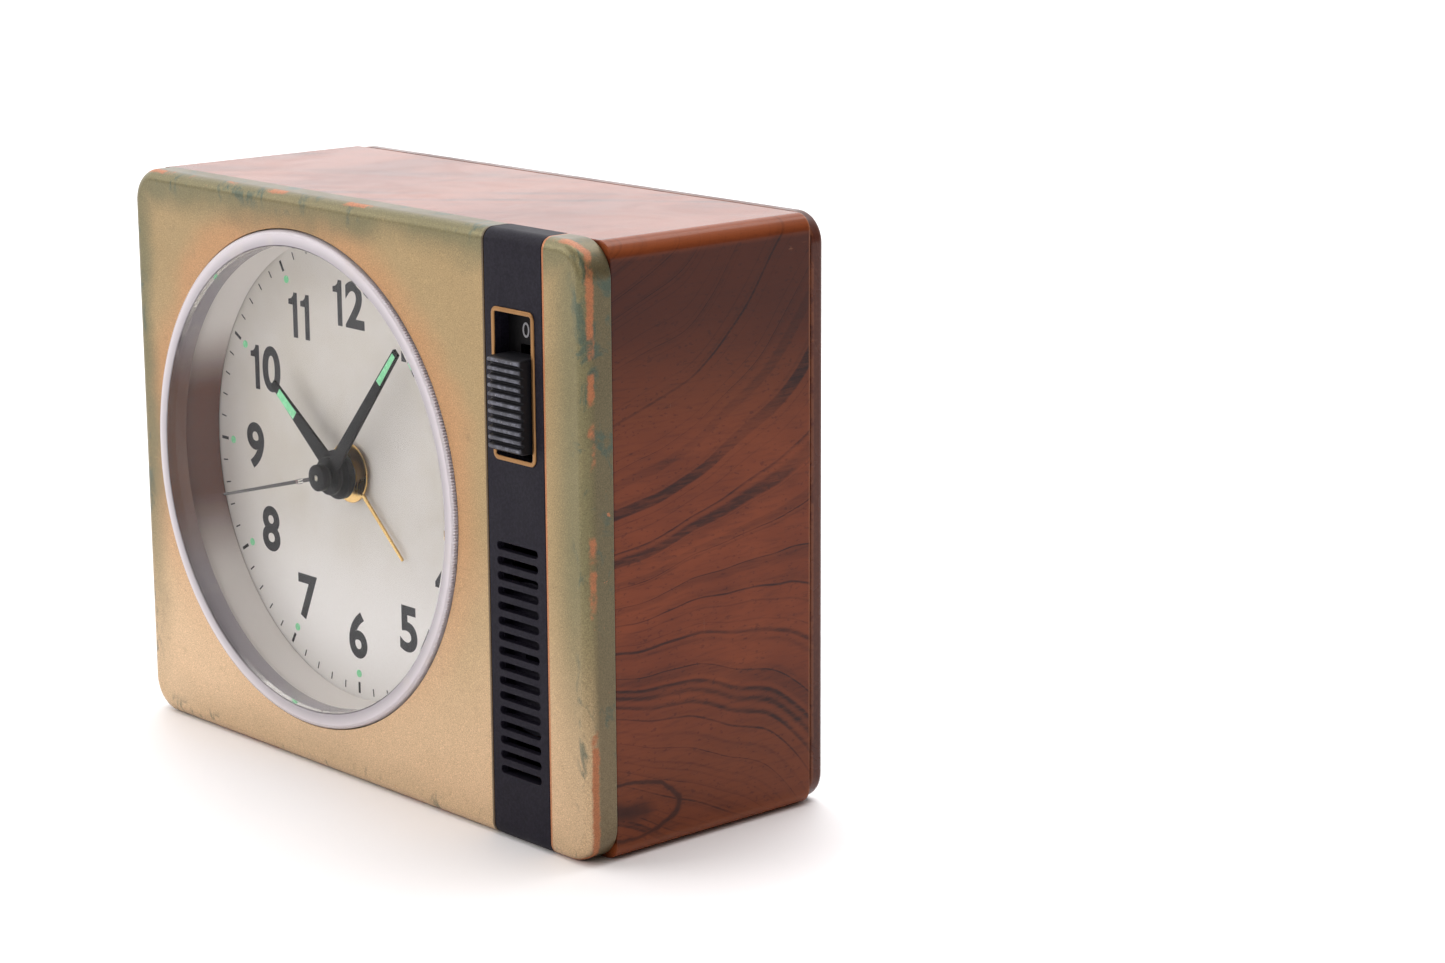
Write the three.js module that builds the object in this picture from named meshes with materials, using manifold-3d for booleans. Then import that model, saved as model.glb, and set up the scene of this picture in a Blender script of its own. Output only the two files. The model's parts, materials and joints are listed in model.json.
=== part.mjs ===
// Battery alarm clock: gold front frame, black switch and sound strip, round lens and dial,
// wood-grain sleeve, back cover with battery bay, and a quartz movement with its gear train.
// Millimetres. +X right, +Y back from the front face, +Z up. The origin is on the flat
// underside of the sleeve, midway across the clock and midway from front face to back cover.

import * as THREE from "three";
import { mergeVertices } from "three/addons/utils/BufferGeometryUtils.js";
import Module from "manifold-3d";

const wasm = await Module();
wasm.setup();

// ---------------------------------------------------------------- driving dimensions
// Front face, from the lens outwards
const lensRadius = 38.8;
const faceLeft = 5.6;
const faceTop = 5.6;
const faceBelow = 6.8;
const faceToStrip = 7.4;
const stripWidth = 12.8;
const faceRight = 9.2;

// Case
const caseDepth = 46.1;
const bezelDepth = 5;
const bezelCorner = 5.5;
const bezelFillet = 1.9;
const bezelWall = 2.4;
const bezelStandsProud = 0.25;
const sleeveWall = 2.2;
const sleeveCorner = 2.6;
const coverDepth = 2.7;
const coverCorner = 4.6;
const coverFillet = 1.1;
const coverWall = 1.8;
const coverLip = 2;
const coverLipWall = 1.2;
const wallBite = 0.3;
const leastCorner = 0.6;
const seam = 0.1;
const fitGap = 0.2;

// Black strip, switch window and sound slots
const stripThickness = 1.1;
const windowFromTop = 10.9;
const windowWidth = 9.5;
const windowHeight = 22.2;
const frameLine = 0.7;
const frameStandsProud = 0.25;
const frameCorner = 0.9;
const slotsBelowWindow = 12.7;
const slotsAboveBase = 10.6;
const slotPitch = 2.24;
const slotLength = 9.2;
const slotHeight = 1.2;

// Alarm switch
const switchSideGap = 0.45;
const switchKnobHeight = 13.8;
const switchKnobStandsProud = 2.1;
const switchEndGap = 1;
const switchRibs = 11;
const switchRibDepth = 0.6;
const switchRibFoot = 0.95;
const switchRibCrest = 0.44;
const stemWidth = 2.4;
const stemHeight = 6;
const sliderHeight = 11;
const sliderEdgeGap = 0.5;
const guideThickness = 0.8;
const guideOverlap = 1.2;
const sliderThickness = 0.8;

// Lens, surround and dial
const lensStandsProud = 0.6;
const lensDome = 0.35;
const lensThickness = 1.5;
const lensRimWidth = 1.3;
const lensFlange = 1.3;
const lensFlangeDepth = 0.9;
const surroundWall = 1.1;
const surroundTaper = 1;
const dialDepth = 10.1;
const dialThickness = 0.5;

// Hands: depth of the front face, length from the centre, angle clockwise from twelve.
// Each has a round boss that stands behind its front face.
const secondHand = {
  depth: 3,
  length: 27.5,
  width: 0.65,
  boss: 2.1,
  bossLength: 1.4,
  thick: 0.3,
  angle: 255,
};
const minuteHand = {
  depth: 5,
  length: 28.7,
  width: 2.4,
  boss: 3,
  bossLength: 1,
  thick: 0.5,
  angle: 40,
};
const hourHand = {
  depth: 6.6,
  length: 20.3,
  width: 2.9,
  boss: 3.9,
  bossLength: 1.2,
  thick: 0.5,
  angle: 307,
};
const alarmHand = {
  depth: 9.1,
  length: 17.8,
  width: 0.7,
  boss: 4.8,
  bossLength: 0.3,
  thick: 0.3,
  angle: 131.5,
};

// Each blade narrows at its tip to this share of its width.
const handTipShare = 0.55;

// Pipes and arbors on the centre line, each outside the one before
const arborRadius = 0.5;
const pipeWall = 0.5;
const pipeGap = 0.15;

// Movement
const wheelThickness = 0.8;
const levelPitch = 1.6;
const plateThickness = 1.2;
const plateToDial = 0.5;
const plateToWheel = 0.8;
const shaftRadius = 0.9;
const boreGap = 0.15;
const toothAddendum = 0.6;
const toothDedendum = 1.15;
const toothLand = 0.15;
const motionModule = 0.45;
const alarmModuleShare = 8 / 9;
const secondsModule = 0.4;
const arborToWheel = 0.53;
const arborToStepWheel = 0.19;
const magnetRadius = 2.6;
const magnetGap = 0.6;
const magnetLength = 2.4;
const pillarRadius = 1.6;
const pillarInset = 2.6;
const pillarToShaft = 6;
const pillarToAlarmShaft = 8;
const upperPillarZ = 3;
const topPillarRise = 4.8;
const postRadius = 2.4;
const screwRadius = 0.9;
const screwHeadRadius = 1.8;
const screwHeadHeight = 1.1;
const screwLength = 6;

// Coil, stator, board and buzzer
const coilLength = 19.6;
const coilRadius = 4.4;
const coilCore = 1.5;
const coilFlange = 1;
const windingInset = 0.6;
const partGap = 1;
const statorShift = 6;
const statorThickness = 0.8;
const statorRim = 0.3;
const statorLeg = 5;
const boardWidth = 11;
const boardHeight = 36;
const boardThickness = 1;
const boardZ = 4;
const boardPostInset = 3;
const crystalRadius = 1.5;
const crystalLength = 8;
const chipSize = 5;
const chipHeight = 1.2;
const buzzerToWall = 1.8;
const buzzerDepth = 7;
const buzzerMouthRadius = 1.9;
const buzzerMouthDepth = 3.5;

// Setting knobs
const knobRadius = 6;
const knobLength = 6;
const knobToCover = 0.5;
const knobFlutes = 20;
const knobFluteDepth = 0.35;
const shaftEndGap = 0.6;
const shaftInKnob = 3.6;

// Battery bay, for a cell 14.2 mm across and 50 mm long
const cellRadius = 7.1;
const cellLength = 49.2;
const cellNub = 1.2;
const cellNubRadius = 2.6;
const cellGap = 0.6;
const cellRim = 0.5;
const contactRoom = 3;
const springRadius = 3;
const springWire = 0.35;
const springTurns = 3;
const contactThickness = 0.4;
const bayWall = 1.6;
const doorLap = 0.8;
const doorThickness = 1.6;
const doorGap = 0.25;
const hingePinRadius = 0.4;
const hingePinLength = 1.4;
const thumbNotchRadius = 5;

// Case screws
const caseScrewToLip = 0.35;
const caseScrewRadius = 1.2;
const caseScrewHeadRadius = 2.2;
const caseScrewHeadHeight = 1.2;
const caseScrewBite = 8;

// ---------------------------------------------------------------- derived dimensions
const caseWidth = faceLeft + 2 * lensRadius + faceToStrip + stripWidth + faceRight;
const caseHeight = faceBelow + 2 * lensRadius + faceTop;
const rightEdge = caseWidth / 2;
const leftEdge = -caseWidth / 2;
const centreX = leftEdge + faceLeft + lensRadius;
const centreZ = faceBelow + lensRadius;
const stripX = rightEdge - faceRight - stripWidth / 2;
const sleeveEnd = caseDepth - coverDepth;
const coverInside = caseDepth - coverWall;
const windowZ = caseHeight - windowFromTop - windowHeight / 2;
const firstSlotZ = windowZ - windowHeight / 2 - slotsBelowWindow;
const slotCount = 1 + Math.floor((firstSlotZ - slotsAboveBase) / slotPitch + 0.01);
const slotFieldZ = firstSlotZ - ((slotCount - 1) * slotPitch) / 2;
const slotFieldHeight = slotCount * slotPitch;
const switchKnobWidth = windowWidth - 2 * frameLine - 2 * switchSideGap;
const buzzerRadius = rightEdge - stripX - bezelWall - buzzerToWall;
const statorBar = 2 * (magnetRadius + magnetGap + statorRim);
const knobBoreDepth = shaftInKnob + shaftEndGap;

const FULL = Math.PI * 2;
const RIGHT_ANGLE = Math.PI / 2;

// ---------------------------------------------------------------- solids
// A geometry as one closed solid: only positions, shared vertices merged, faces turned outwards.
function closed(geometry) {
  const bare = geometry.clone();
  bare.deleteAttribute("normal");
  bare.deleteAttribute("uv");
  const merged = mergeVertices(bare, 1e-4);
  const position = merged.attributes.position;
  const index = Array.from(merged.index.array);
  const kept = [];
  let volume = 0;
  const [a, b, c] = [new THREE.Vector3(), new THREE.Vector3(), new THREE.Vector3()];
  for (let i = 0; i < index.length; i += 3) {
    const [p, q, r] = [index[i], index[i + 1], index[i + 2]];
    if (p === q || q === r || r === p) continue;
    kept.push(p, q, r);
    a.fromBufferAttribute(position, p);
    b.fromBufferAttribute(position, q);
    c.fromBufferAttribute(position, r);
    volume += a.dot(b.cross(c));
  }
  if (volume < 0) {
    kept.reverse();
  }
  merged.setIndex(kept);
  return merged;
}

function toSolid(geometry) {
  const mesh = closed(geometry);
  return new wasm.Manifold(new wasm.Mesh({
    numProp: 3,
    vertProperties: new Float32Array(mesh.attributes.position.array),
    triVerts: new Uint32Array(mesh.index.array),
  }));
}

function toGeometry(solid) {
  const mesh = solid.getMesh();
  const geometry = new THREE.BufferGeometry();
  geometry.setAttribute("position", new THREE.BufferAttribute(new Float32Array(mesh.vertProperties), 3));
  geometry.setIndex(Array.from(mesh.triVerts));
  return geometry;
}

function join(first, ...others) {
  return toGeometry(others.reduce((sum, other) => sum.add(toSolid(other)), toSolid(first)));
}

function cut(body, ...tools) {
  return toGeometry(tools.reduce((rest, tool) => rest.subtract(toSolid(tool)), toSolid(body)));
}

// ---------------------------------------------------------------- shapes
function roundedRectangle(width, height, radius) {
  const [x, y] = [width / 2 - radius, height / 2 - radius];
  const shape = new THREE.Shape();
  shape.absarc(x, y, radius, 0, RIGHT_ANGLE);
  shape.absarc(-x, y, radius, RIGHT_ANGLE, Math.PI);
  shape.absarc(-x, -y, radius, Math.PI, 3 * RIGHT_ANGLE);
  shape.absarc(x, -y, radius, 3 * RIGHT_ANGLE, FULL);
  shape.closePath();
  return shape;
}

// A shape drawn as seen from the front, extruded backwards from one depth to another.
function slab(shape, fromDepth, toDepth, curveSegments = 2) {
  const thickness = toDepth - fromDepth;
  const geometry = new THREE.ExtrudeGeometry(shape, {
    depth: thickness,
    bevelEnabled: false,
    curveSegments,
  });
  geometry.rotateX(RIGHT_ANGLE);
  geometry.translate(0, toDepth, 0);
  return geometry;
}

function block(width, fromDepth, toDepth, height) {
  const geometry = new THREE.BoxGeometry(width, toDepth - fromDepth, height);
  geometry.translate(0, (fromDepth + toDepth) / 2, 0);
  return geometry;
}

// A turned piece about the depth axis; the profile lists radius and depth in turn.
function turned(profile, segments) {
  const points = profile.map(([radius, depth]) => new THREE.Vector2(radius, depth));
  return new THREE.LatheGeometry(points, segments);
}

function rod(radius, fromDepth, toDepth, segments = 16) {
  return turned([[0, fromDepth], [radius, fromDepth], [radius, toDepth], [0, toDepth]], segments);
}

function ring(inner, outer, fromDepth, toDepth, segments) {
  const front = [[inner, fromDepth], [outer, fromDepth]];
  const back = [[outer, toDepth], [inner, toDepth]];
  return turned([...front, ...back, front[0]], segments);
}

function moved(geometry, x, depth, z) {
  return geometry.clone().translate(x, depth, z);
}

// A rounded-rectangle slab whose edge at one end is rolled over by a fillet. The flat end may
// lie in front of the filleted end or behind it.
function filletedSlab(width, height, corner, fillet, filletDepth, flatDepth) {
  const length = Math.abs(flatDepth - filletDepth);
  const backwards = flatDepth > filletDepth;
  const slabGeometry = new THREE.ExtrudeGeometry(roundedRectangle(width, height, corner), {
    depth: length,
    bevelThickness: fillet,
    bevelSize: fillet,
    bevelOffset: -fillet,
    bevelSegments: 3,
    curveSegments: 3,
  });
  slabGeometry.rotateX(RIGHT_ANGLE);
  slabGeometry.translate(0, backwards ? flatDepth + fillet : filletDepth - fillet, 0);
  const spare = 3 * fillet;
  const waste = backwards
    ? block(2 * width, flatDepth, flatDepth + spare, 2 * height)
    : block(2 * width, flatDepth - spare, flatDepth, 2 * height);
  return cut(slabGeometry, waste);
}

// A side view, drawn with depth to the right and height upwards, extruded across the clock.
function sideSlab(shape, width) {
  const geometry = new THREE.ExtrudeGeometry(shape, { depth: width, bevelEnabled: false, curveSegments: 6 });
  geometry.translate(0, 0, -width / 2);
  const [across, back, up] = [0, 1, 2].map((axis) => new THREE.Vector3().setComponent(axis, 1));
  geometry.applyMatrix4(new THREE.Matrix4().makeBasis(back, up, across));
  return geometry;
}

// A solid turned about the depth axis, laid along the X axis instead.
function laidAcross(geometry) {
  return geometry.rotateZ(-RIGHT_ANGLE);
}

// ---------------------------------------------------------------- the scene graph
const clock = new THREE.Group();
const caseFrame = new THREE.Group();
caseFrame.position.set(0, -caseDepth / 2, 0);
clock.add(caseFrame);

const finishes = {
  gold: { color: 0xb9a06e, roughness: 0.45, metalness: 0.55 },
  black: { color: 0x312f36, roughness: 0.5, metalness: 0 },
  frameGold: { color: 0xc8a56e, roughness: 0.35, metalness: 0.8 },
  slate: { color: 0x464850, roughness: 0.55, metalness: 0 },
  clear: { color: 0xf4f6f6, roughness: 0.05, metalness: 0 },
  cream: { color: 0xe1ded7, roughness: 0.6, metalness: 0 },
  white: { color: 0xe8e6e4, roughness: 0.4, metalness: 0 },
  handBlack: { color: 0x1d1d20, roughness: 0.4, metalness: 0 },
  handGold: { color: 0xc9a24e, roughness: 0.3, metalness: 0.9 },
  wood: { color: 0x6e3e30, roughness: 0.25, metalness: 0 },
  brownPlastic: { color: 0x5a3428, roughness: 0.35, metalness: 0 },
  brass: { color: 0xc4a052, roughness: 0.3, metalness: 1 },
  steel: { color: 0xa8acb0, roughness: 0.3, metalness: 1 },
  gear: { color: 0xe6e2d6, roughness: 0.5, metalness: 0 },
  copper: { color: 0xb4633a, roughness: 0.35, metalness: 0.9 },
  board: { color: 0x2f6b45, roughness: 0.5, metalness: 0 },
  cell: { color: 0x2d3a66, roughness: 0.4, metalness: 0.3 },
};

function piece(name, geometry, finish, x = 0, depth = 0, z = 0, parent = caseFrame) {
  const mesh = new THREE.Mesh(closed(geometry), new THREE.MeshStandardMaterial(finishes[finish]));
  mesh.name = name;
  mesh.position.set(x, depth, z);
  parent.add(mesh);
  return mesh;
}

const movement = new THREE.Group();
movement.position.set(centreX, 0, centreZ);
caseFrame.add(movement);

// ---------------------------------------------------------------- movement layout
const frontPlateDepth = dialDepth + dialThickness + plateToDial;
const firstLevel = frontPlateDepth + plateThickness + plateToWheel;
const alarmLevel = firstLevel;
const hourLevel = alarmLevel + levelPitch;
const minuteLevel = hourLevel + levelPitch;
const centreLevel = minuteLevel + levelPitch;
const middlePlateDepth = centreLevel + levelPitch;
const thirdLevel = middlePlateDepth + plateThickness + plateToWheel / 2;
const secondsLevel = thirdLevel + levelPitch;
const stepLevel = secondsLevel + levelPitch;
const rearPlateDepth = stepLevel + levelPitch;
const rearPlateEnd = rearPlateDepth + plateThickness;
const statorDepth = thirdLevel + levelPitch - plateToWheel / 2;

const teeth = {
  rotor: 6, stepWheel: 36, stepPinion: 6, secondsWheel: 30, secondsPinion: 6, thirdWheel: 45,
  thirdPinion: 6, centreWheel: 48, cannon: 10, minuteWheel: 30, minutePinion: 8, hourWheel: 32,
  timeSet: 10, alarmWheel: 36, alarmSet: 12,
};

const alarmModule = alarmModuleShare * motionModule;

function wheelReach(count, module) {
  return (count / 2 + toothAddendum) * module;
}

// The third wheel's arbor passes beside the hour wheel and the alarm wheel.
const widestWheel = Math.max(
  wheelReach(teeth.hourWheel, motionModule),
  wheelReach(teeth.alarmWheel, alarmModule),
);
const thirdDistance = widestWheel + arborRadius + arborToWheel;
const thirdModule = (2 * thirdDistance) / (teeth.secondsPinion + teeth.thirdWheel);
const centreModule = (2 * thirdDistance) / (teeth.thirdPinion + teeth.centreWheel);

function meshDistance(first, second, module) {
  return ((first + second) / 2) * module;
}

function around(from, degrees, distance) {
  const angle = THREE.MathUtils.degToRad(degrees);
  return { x: from.x + distance * Math.cos(angle), z: from.z + distance * Math.sin(angle) };
}

// The step wheel reaches nearly to the seconds arbor.
const stepDistance = meshDistance(teeth.stepPinion, teeth.secondsWheel, secondsModule);
const stepRoom = stepDistance - arborRadius - arborToStepWheel;
const stepModule = stepRoom / (teeth.stepWheel / 2 + toothAddendum);

const centre = { x: 0, z: 0 };
const stepAxis = around(centre, 40, stepDistance);
const rotorAxis = around(stepAxis, 75, meshDistance(teeth.rotor, teeth.stepWheel, stepModule));
const thirdAxis = around(centre, 165, thirdDistance);
const minuteAxis = around(centre, 270, meshDistance(teeth.cannon, teeth.minuteWheel, motionModule));
const timeSetAxis = around(minuteAxis, 180, meshDistance(teeth.timeSet, teeth.minuteWheel, motionModule));
const alarmSetAxis = around(centre, 340, meshDistance(teeth.alarmSet, teeth.alarmWheel, alarmModule));

const postReach = (lensRadius + lensFlange + postRadius + fitGap) / Math.SQRT2;
const corners = [[-1, 1], [1, 1], [1, -1], [-1, -1]];
const platePosts = corners.map(([x, z]) => ({ x: x * postReach, z: z * postReach }));
const lipInside = bezelStandsProud + sleeveWall + fitGap + coverLipWall;
const caseScrewInset = lipInside + postRadius + caseScrewToLip;
const caseScrewX = rightEdge - caseScrewInset;
const caseScrewTop = caseHeight - caseScrewInset;
const caseScrews = corners.map(([x, z]) => ({
  x: x * caseScrewX,
  z: z > 0 ? caseScrewTop : caseScrewInset,
}));

const secondsPipe = arborRadius;
const cannonBore = secondsPipe + pipeGap;
const cannonPipe = cannonBore + pipeWall;
const hourBore = cannonPipe + pipeGap;
const hourPipe = hourBore + pipeWall;
const alarmBore = hourPipe + pipeGap;
const alarmPipe = alarmBore + pipeWall;
const dialHole = alarmPipe + pipeWall;

// ---------------------------------------------------------------- front frame
function frontBezel() {
  const width = caseWidth;
  const height = caseHeight;
  const outer = filletedSlab(width, height, bezelCorner, bezelFillet, 0, bezelDepth);
  const pocket = slab(
    roundedRectangle(width - 2 * bezelWall, height - 2 * bezelWall, bezelCorner - bezelWall / 2),
    bezelWall,
    bezelDepth + 1,
  );
  const lensHole = moved(rod(lensRadius + fitGap, -1, bezelWall + 1, 40), centreX, 0, centreZ - height / 2);
  const channel = moved(stripProfile(stripWidth + 2 * seam, stripThickness + seam, 1), stripX, 0, 0);
  const guideHole = block(windowWidth, -1, bezelWall + 1, windowHeight);
  const soundHole = block(slotLength, -1, bezelWall + 1, slotFieldHeight);
  const shell = cut(
    outer,
    pocket,
    lensHole,
    channel,
    moved(guideHole, stripX, 0, windowZ - height / 2),
    moved(soundHole, stripX, 0, slotFieldZ - height / 2),
  );
  const plateBosses = platePosts.map(({ x, z }) => moved(
    rod(postRadius, bezelWall - wallBite, frontPlateDepth - seam, 10),
    centreX + x,
    0,
    centreZ + z - height / 2,
  ));
  const caseBosses = caseScrews.map(({ x, z }) => moved(
    rod(postRadius, bezelWall - wallBite, coverInside - seam, 10),
    x,
    0,
    z - height / 2,
  ));
  const plateDrills = platePosts.map(({ x, z }) => moved(
    rod(screwRadius + fitGap, frontPlateDepth - screwLength, frontPlateDepth + 1, 8),
    centreX + x,
    0,
    centreZ + z - height / 2,
  ));
  const caseDrills = caseScrews.map(({ x, z }) => moved(
    rod(caseScrewRadius + fitGap, coverInside - caseScrewBite - 1, coverInside + 1, 8),
    x,
    0,
    z - height / 2,
  ));
  return cut(join(shell, ...plateBosses, ...caseBosses), ...plateDrills, ...caseDrills);
}

// The strip's C-shaped section: down the front face and back over the top and bottom bands.
// `spill` carries the section beyond the frame, for cutting the frame's channel.
function stripProfile(width, thickness, spill) {
  const outerHeight = caseHeight + 2 * spill;
  const outer = spill > 0
    ? block(width, -spill, bezelDepth + spill, outerHeight)
    : block(width, 0, bezelDepth - seam, outerHeight);
  const roll = Math.max(bezelFillet - thickness, leastCorner / 2);
  const inner = filletedSlab(
    2 * caseWidth,
    caseHeight - 2 * thickness,
    bezelCorner,
    roll,
    thickness,
    bezelDepth + 2 * spill + 1,
  );
  if (spill > 0) {
    return cut(outer, inner);
  }
  const face = filletedSlab(2 * caseWidth, caseHeight, bezelCorner, bezelFillet, 0, bezelDepth);
  return cut(toGeometry(toSolid(outer).intersect(toSolid(face))), inner);
}

function fasciaStrip() {
  const body = stripProfile(stripWidth, stripThickness, 0);
  const [width, height] = [windowWidth - 2 * frameLine, windowHeight - 2 * frameLine];
  const windowHole = block(width, -1, stripThickness + 1, height);
  const slot = roundedRectangle(slotLength, slotHeight, slotHeight / 2 - 0.01);
  const slots = [];
  for (let i = 0; i < slotCount; i += 1) {
    const z = firstSlotZ - i * slotPitch - caseHeight / 2;
    slots.push(moved(slab(slot, -1, stripThickness + 1, 1), 0, 0, z));
  }
  return cut(body, moved(windowHole, 0, 0, windowZ - caseHeight / 2), ...slots);
}

function switchFrame() {
  const edge = roundedRectangle(windowWidth, windowHeight, frameCorner);
  const outer = slab(edge, -frameStandsProud, -seam / 2, 1);
  const inner = slab(
    roundedRectangle(
      windowWidth - 2 * frameLine,
      windowHeight - 2 * frameLine,
      frameCorner - frameLine / 2,
    ),
    -1,
    1,
    1,
  );
  return cut(outer, inner);
}

const switchInside = windowHeight - 2 * frameLine;
const switchTravel = switchInside - switchKnobHeight - 2 * switchEndGap;
const switchKnobZ = windowZ - switchInside / 2 + switchEndGap + switchKnobHeight / 2;
const guideDepth = bezelWall + seam;

function switchGuide() {
  const plate = block(
    windowWidth + guideOverlap,
    guideDepth,
    guideDepth + guideThickness,
    windowHeight + 2 * guideOverlap,
  );
  const stemSlotHeight = stemHeight + switchTravel + 2 * fitGap;
  const stemSlot = block(stemWidth + 2 * fitGap, 0, 2 * guideDepth, stemSlotHeight);
  const stemSlotZ = switchKnobZ - windowZ + switchTravel / 2;
  return cut(plate, moved(stemSlot, 0, 0, stemSlotZ));
}

// The knob's side view, ribbed on the front, extruded across its width.
function switchKnob() {
  const shape = new THREE.Shape();
  const half = switchKnobHeight / 2;
  const back = guideDepth - fitGap;
  const pitch = switchKnobHeight / switchRibs;
  const front = -switchKnobStandsProud;
  shape.moveTo(back, -half);
  for (let i = 0; i < switchRibs; i += 1) {
    const middle = -half + (i + 0.5) * pitch;
    shape.lineTo(front + switchRibDepth, middle - switchRibFoot / 2);
    shape.lineTo(front, middle - switchRibCrest / 2);
    shape.lineTo(front, middle + switchRibCrest / 2);
    shape.lineTo(front + switchRibDepth, middle + switchRibFoot / 2);
  }
  shape.lineTo(back, half);
  shape.closePath();
  const stem = block(stemWidth, back - wallBite, guideDepth + guideThickness + fitGap, stemHeight);
  return join(sideSlab(shape, switchKnobWidth), stem);
}

// ---------------------------------------------------------------- lens, surround and dial
function lensSolid() {
  const innerRadius = lensRadius - lensRimWidth;
  const front = -lensStandsProud;
  const flangeFront = bezelWall + seam;
  const flangeBack = flangeFront + lensFlangeDepth;
  const outerFlange = lensRadius + lensFlange;
  return turned([
    [0, front - lensDome],
    [innerRadius, front],
    [lensRadius - lensRimWidth / 3, front],
    [lensRadius, front + lensRimWidth / 3],
    [lensRadius, flangeFront],
    [outerFlange, flangeFront],
    [outerFlange, flangeBack],
    [innerRadius, flangeBack],
    [innerRadius, front + lensThickness],
    [0, front - lensDome + lensThickness],
  ], 40);
}

const surroundFront = bezelWall + lensFlangeDepth + 2 * seam;

function dialSurround() {
  const innerRadius = lensRadius - lensRimWidth;
  const flangeRadius = lensRadius + lensFlange;
  const back = dialDepth - seam;
  return turned([
    [innerRadius, surroundFront],
    [flangeRadius, surroundFront],
    [flangeRadius, surroundFront + lensFlangeDepth],
    [innerRadius + surroundWall, surroundFront + lensFlangeDepth],
    [innerRadius + surroundWall, back],
    [innerRadius - surroundTaper, back],
    [innerRadius, surroundFront],
  ], 40);
}

// ---------------------------------------------------------------- hands
// A hand drawn pointing up from a round boss with a bore.
function handOutline(hand, bore) {
  const bladeRoot = Math.asin(hand.width / 2 / hand.boss);
  const tipWidth = hand.width * handTipShare;
  const shape = new THREE.Shape();
  shape.moveTo(hand.width / 2, hand.boss * Math.cos(bladeRoot));
  shape.lineTo(hand.width / 2, hand.length - hand.width);
  shape.lineTo(tipWidth / 2, hand.length);
  shape.lineTo(-tipWidth / 2, hand.length);
  shape.lineTo(-hand.width / 2, hand.length - hand.width);
  shape.lineTo(-hand.width / 2, hand.boss * Math.cos(bladeRoot));
  shape.absarc(0, 0, hand.boss, RIGHT_ANGLE + bladeRoot, FULL + RIGHT_ANGLE - bladeRoot);
  const hole = new THREE.Path();
  hole.absarc(0, 0, bore, 0, FULL, true);
  shape.holes.push(hole);
  return shape;
}

function addHand(name, hand, bore, finish) {
  const blade = slab(handOutline(hand, bore), 0, hand.thick, 6);
  const boss = ring(bore, hand.boss, 0, hand.bossLength, 16);
  const solid = hand.bossLength > hand.thick ? join(blade, boss) : blade;
  const mesh = piece(name, solid, finish, 0, hand.depth, 0, movement);
  mesh.rotation.y = THREE.MathUtils.degToRad(hand.angle);
}

// ---------------------------------------------------------------- gears
function toothedOutline(count, module, at) {
  const pitch = FULL / count;
  const tip = module * (count / 2 + toothAddendum);
  const root = module * (count / 2 - toothDedendum);
  const land = (pitch * toothLand) / 2;
  const points = [];
  for (let i = 0; i < count; i += 1) {
    const angle = at + i * pitch;
    points.push(new THREE.Vector2(tip * Math.cos(angle - land), tip * Math.sin(angle - land)));
    points.push(new THREE.Vector2(tip * Math.cos(angle + land), tip * Math.sin(angle + land)));
    points.push(new THREE.Vector2(root * Math.cos(angle + pitch / 2), root * Math.sin(angle + pitch / 2)));
  }
  return points;
}

function gear(count, module, level, at = 0, bore = 0, thickness = wheelThickness) {
  const shape = new THREE.Shape(toothedOutline(count, module, at));
  if (bore > 0) {
    const hole = new THREE.Path();
    hole.absarc(0, 0, bore, 0, FULL, true);
    shape.holes.push(hole);
  }
  return slab(shape, level, level + thickness, 4);
}

// The angle of a tooth of a driven gear that meshes with a gear having a tooth at `at`.
function meshAngle(direction, at, drivingTeeth, drivenTeeth) {
  const toward = THREE.MathUtils.degToRad(direction);
  return toward + Math.PI - ((at - toward) * drivingTeeth) / drivenTeeth + Math.PI / drivenTeeth;
}

function bearing(from, to) {
  return THREE.MathUtils.radToDeg(Math.atan2(to.z - from.z, to.x - from.x));
}

// ---------------------------------------------------------------- sleeve and back cover
const sleeveWidth = caseWidth - 2 * bezelStandsProud;
const sleeveHeight = caseHeight - bezelStandsProud;
const sleeveMidZ = sleeveHeight / 2;

function caseSleeve() {
  const [front, back] = [bezelDepth + seam, sleeveEnd - seam];
  const outer = slab(roundedRectangle(sleeveWidth, sleeveHeight, sleeveCorner), front, back);
  const insideCorner = Math.max(sleeveCorner - sleeveWall, leastCorner);
  const inner = slab(
    roundedRectangle(sleeveWidth - 2 * sleeveWall, sleeveHeight - 2 * sleeveWall, insideCorner),
    front - 1,
    back + 1,
    3,
  );
  return cut(outer, inner);
}

// The battery bay lies midway between the base and the setting knobs, under the movement.
const knobZ = centreZ + timeSetAxis.z;
const doorFace = caseDepth - doorThickness - seam;
const cellDepth = doorFace - cellGap - cellRadius;
const bay = {
  x: centreX,
  z: (coverWall + knobZ - knobRadius) / 2,
  length: cellLength + cellNub + contactRoom + 2 * cellGap,
  height: 2 * (cellRadius + cellGap),
  front: cellDepth - cellRadius - cellGap,
};
const door = { width: bay.length + 2 * doorLap, height: bay.height + 2 * doorLap };
const hinge = { depth: caseDepth - doorThickness / 2, z: bay.z - door.height / 2 + doorThickness / 2 };

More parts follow.
